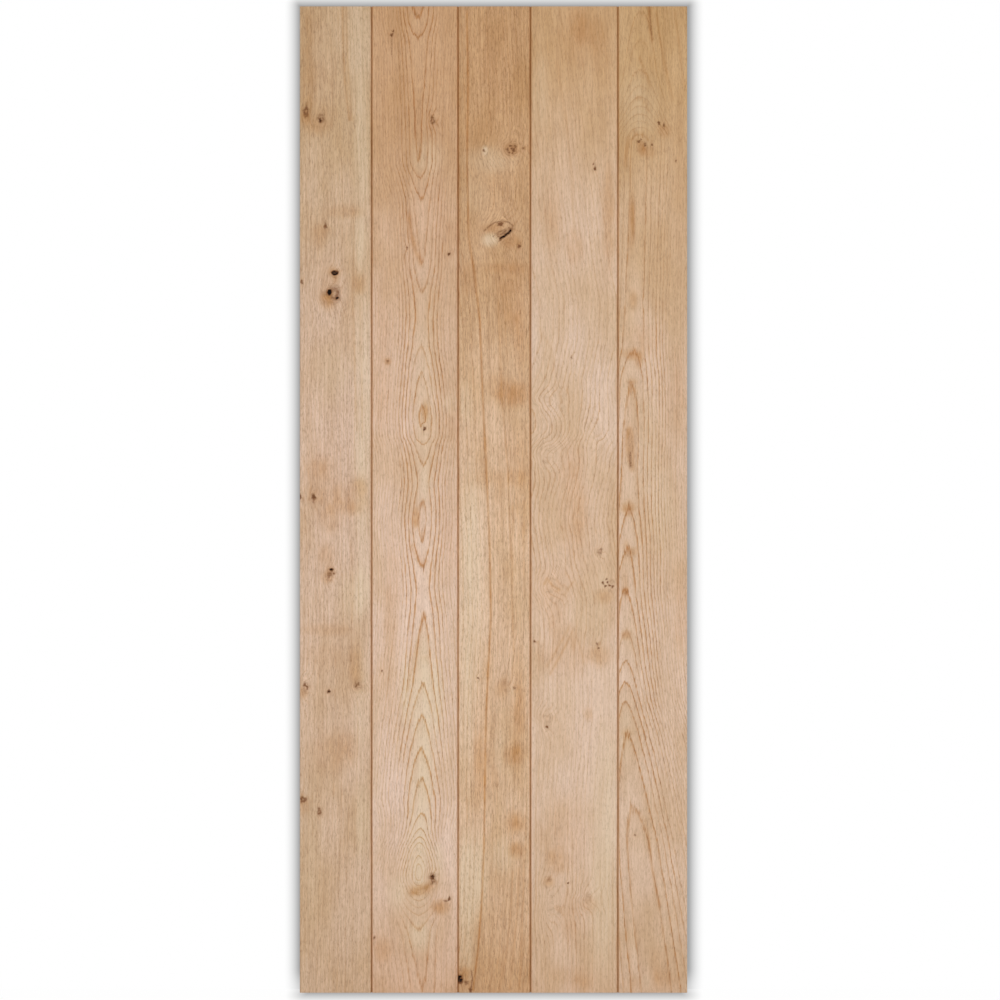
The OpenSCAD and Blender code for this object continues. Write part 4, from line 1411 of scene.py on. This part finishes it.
class Shade(NamedTuple):
    """Soft shade round the leaf: how far outside the leaf's box it starts and how far it reaches on
    X, Y and Z, its strength against the leaf and the power that it fades by."""
    start: tuple
    reach: tuple
    strength: float
    power: float


# The backdrop stands just behind the leaf. Its shade weakens below a rise from the floor.
BACKDROP_GAP = 1.5 * MM
BACKDROP_SIDE, BACKDROP_RISE = 14.0, 8.0
WALL_SHADE = Shade((5 * MM, 4 * MM, 8.5 * MM), (32 * MM, 32 * MM, 32 * MM), 0.62, 1.7)
WALL_FOOT_SHADE, WALL_FOOT_RISE = 0.36, 45 * MM
FLOOR_SHADE = Shade((-15 * MM, 4 * MM, 8.5 * MM), (45 * MM, 130 * MM, 32 * MM), 0.58, 1.3)

# The shade lies this far to the right of the leaf's middle.
SHADE_ASIDE = 1 * MM

# Share of the floor's own light in what the camera sees of it.
FLOOR_GLOW = 0.98

# The lamps' distance from the leaf, their side and their heights.
LAMP_DISTANCE, LAMP_SIDE = 3.6, 2.4
KEY_HEIGHT, BACK_HEIGHT = 0.7, 1.6
UPRIGHT = math.radians(90)
WHITE = (1, 1, 1, 1)


def leaf_shade(w, shade, strength):
    """Light on the ground round the leaf: the distance from the leaf's box grown by the start, over
    the reach on each axis, eased by the power from the shade against the leaf to full light."""
    low, high = CAD_BOX
    half = [side / 2 + more for side, more in zip(high - low, shade.start)]
    middle = (low + high) / 2
    middle.x += SHADE_ASIDE
    place = w.add("ShaderNodeTexCoord").outputs["Object"]
    away = w.vector("ABSOLUTE", w.vector("SUBTRACT", place, middle))
    away = w.vector("MAXIMUM", w.vector("SUBTRACT", away, half), (0, 0, 0))
    away = w.vector("LENGTH", w.vector("DIVIDE", away, shade.reach), output="Value")
    left = w.math("POWER", w.math("SUBTRACT", 1.0, away, clamp=True), shade.power)
    return w.math("SUBTRACT", 1.0, w.math("MULTIPLY", left, strength))


def glowing_ground(w, shown, under, light):
    """Ends a ground's material: its own white light by the share that is shown, over another shader."""
    glow = w.add("ShaderNodeEmission", {"Color": WHITE, "Strength": light}).outputs[0]
    surface = w.add("ShaderNodeMixShader", {0: shown, 1: under, 2: glow}).outputs[0]
    w.nodes.remove(w.nodes["Principled BSDF"])
    w.feed(w.nodes["Material Output"].inputs["Surface"], surface)


def backdrop_material(name):
    """A white wall that only camera rays from the front meet, so it hides and shades nothing from
    behind. Its own light dims against the leaf."""
    material = bpy.data.materials.new(name)
    w = Wiring(material)
    height = w.split(w.add("ShaderNodeTexCoord").outputs["Object"])[2]
    strength = w.span(height, 0.0, WALL_FOOT_RISE, WALL_FOOT_SHADE, WALL_SHADE.strength)
    behind = w.add("ShaderNodeNewGeometry").outputs["Backfacing"]
    camera = w.add("ShaderNodeLightPath").outputs["Is Camera Ray"]
    shown = w.math("MULTIPLY", camera, w.math("SUBTRACT", 1.0, behind))
    clear = w.add("ShaderNodeBsdfTransparent").outputs[0]
    glowing_ground(w, shown, clear, leaf_shade(w, WALL_SHADE, strength))
    return material


def floor_material(name, tint):
    """A matt white floor. The camera sees it a little brighter, and dimmed against the leaf."""
    material = bpy.data.materials.new(name)
    w = Wiring(material)
    camera = w.add("ShaderNodeLightPath").outputs["Is Camera Ray"]
    shown = w.math("MULTIPLY", camera, FLOOR_GLOW)
    matt = w.add("ShaderNodeBsdfDiffuse", {"Color": (*tint, 1)}).outputs[0]
    glowing_ground(w, shown, matt, leaf_shade(w, FLOOR_SHADE, FLOOR_SHADE.strength))
    return material


def stage_sheet(name, corners, material):
    """One flat sheet of the stage, through its corners."""
    mesh = bpy.data.meshes.new(name)
    mesh.from_pydata(corners, [], [range(len(corners))])
    mesh.materials.append(material)
    sheet = bpy.data.objects.new(name, mesh)
    bpy.context.scene.collection.objects.link(sheet)


def area_lamp(name, y, height, tilt, watts):
    """A square lamp in front of the leaf or behind it, tilted upright to face it."""
    data = bpy.data.lights.new(name, "AREA")
    data.size = LAMP_SIDE
    data.energy = watts
    lamp = bpy.data.objects.new(name, data)
    lamp.location = (0, y, height)
    lamp.rotation_euler = (tilt, 0, 0)
    bpy.context.scene.collection.objects.link(lamp)


def studio_world(name, strength):
    """A world that is white to the camera and in reflections, and lights the leaf at a strength."""
    world = bpy.data.worlds.new(name)
    w = Wiring(world)
    rays = w.add("ShaderNodeLightPath").outputs
    seen = w.math("MAXIMUM", rays["Is Camera Ray"], rays["Is Glossy Ray"])
    seen = w.math("MAXIMUM", seen, rays["Is Transmission Ray"])
    level = w.add("ShaderNodeMapRange", {"Value": seen, "To Min": strength}).outputs[0]
    sky = w.nodes["Background"].inputs
    w.feed(sky["Color"], WHITE)
    w.feed(sky["Strength"], level)
    return world


def photo_camera(name, lens):
    """A camera square on to the leaf. Its distance makes the view at the leaf's front as wide as the
    photograph, and it stands as far from the leaf's middle as the photograph's middle does."""
    low, high = CAD_BOX
    middle = (low + high) / 2
    data = bpy.data.cameras.new(name)
    data.lens = lens
    distance = PHOTO_SIDE * PIXEL * data.lens / data.sensor_width
    aside = PHOTO_MIDDLE - (PHOTO_LEFT + PHOTO_RIGHT) / 2
    above = (PHOTO_TOP + PHOTO_BOTTOM) / 2 - PHOTO_MIDDLE
    camera = bpy.data.objects.new(name, data)
    camera.location = (middle.x + aside * PIXEL, low.y - distance, middle.z + above * PIXEL)
    camera.rotation_euler = (UPRIGHT, 0, 0)
    bpy.context.scene.collection.objects.link(camera)
    return camera


class DOOR_OT_stage(bpy.types.Operator):
    """Sets the pale floor, the backdrop, the soft light and the camera"""
    bl_idname = "oak_door.stage"
    bl_label = "Stage"

    def execute(self, context):
        scene = context.scene
        look = scene.stage_look
        scene.view_settings.view_transform = "Standard"
        low, high = CAD_BOX
        half, rise = BACKDROP_SIDE / 2, BACKDROP_RISE
        wall = high.y + BACKDROP_GAP
        floor = [(-half, -half, 0), (half, -half, 0), (half, half, 0), (-half, half, 0)]
        stage_sheet("floor", floor, floor_material("floor_ground", look.ground))
        backdrop = [(-half, wall, 0), (half, wall, 0), (half, wall, rise), (-half, wall, rise)]
        stage_sheet("backdrop", backdrop, backdrop_material("backdrop_ground"))
        area_lamp("key_lamp", low.y - LAMP_DISTANCE, KEY_HEIGHT, UPRIGHT, look.key_power)
        area_lamp("back_lamp", high.y + LAMP_DISTANCE, BACK_HEIGHT, -UPRIGHT, look.back_power)
        scene.world = studio_world("studio", look.sky)
        scene.camera = photo_camera("photo_camera", look.lens)
        return {"FINISHED"}


# Add-on

OPERATORS = (DOOR_OT_boards, DOOR_OT_ledges, DOOR_OT_braces, DOOR_OT_plugs, DOOR_OT_screws,
             DOOR_OT_stage)


class DOOR_PT_panel(bpy.types.Panel):
    """Lists the settings and the pieces of the door"""
    bl_idname = "DOOR_PT_panel"
    bl_label = "Oak Door"
    bl_space_type = "VIEW_3D"
    bl_region_type = "UI"
    bl_category = "Oak Door"

    def draw(self, context):
        for settings in (context.scene.door_sizes, context.scene.oak_finish, context.scene.stage_look):
            box = self.layout.box()
            for name in settings.__annotations__:
                box.prop(settings, name)
        for operator in OPERATORS:
            self.layout.operator(operator.bl_idname)


CLASSES = (DoorSizes, OakFinish, StageLook, *OPERATORS, DOOR_PT_panel)


def register():
    """Registers the classes and hangs the settings on the scene."""
    for cls in CLASSES:
        bpy.utils.register_class(cls)
    bpy.types.Scene.door_sizes = PointerProperty(type=DoorSizes)
    bpy.types.Scene.oak_finish = PointerProperty(type=OakFinish)
    bpy.types.Scene.stage_look = PointerProperty(type=StageLook)


def unregister():
    """Takes the settings off the scene and the classes out again."""
    del bpy.types.Scene.stage_look
    del bpy.types.Scene.oak_finish
    del bpy.types.Scene.door_sizes
    for cls in reversed(CLASSES):
        bpy.utils.unregister_class(cls)


def main():
    """Builds the dressed leaf and its stage in order."""
    register()
    bpy.ops.oak_door.boards()
    bpy.ops.oak_door.ledges()
    bpy.ops.oak_door.braces()
    bpy.ops.oak_door.plugs()
    bpy.ops.oak_door.screws()
    bpy.ops.oak_door.stage()


if __name__ == "__main__":
    main()
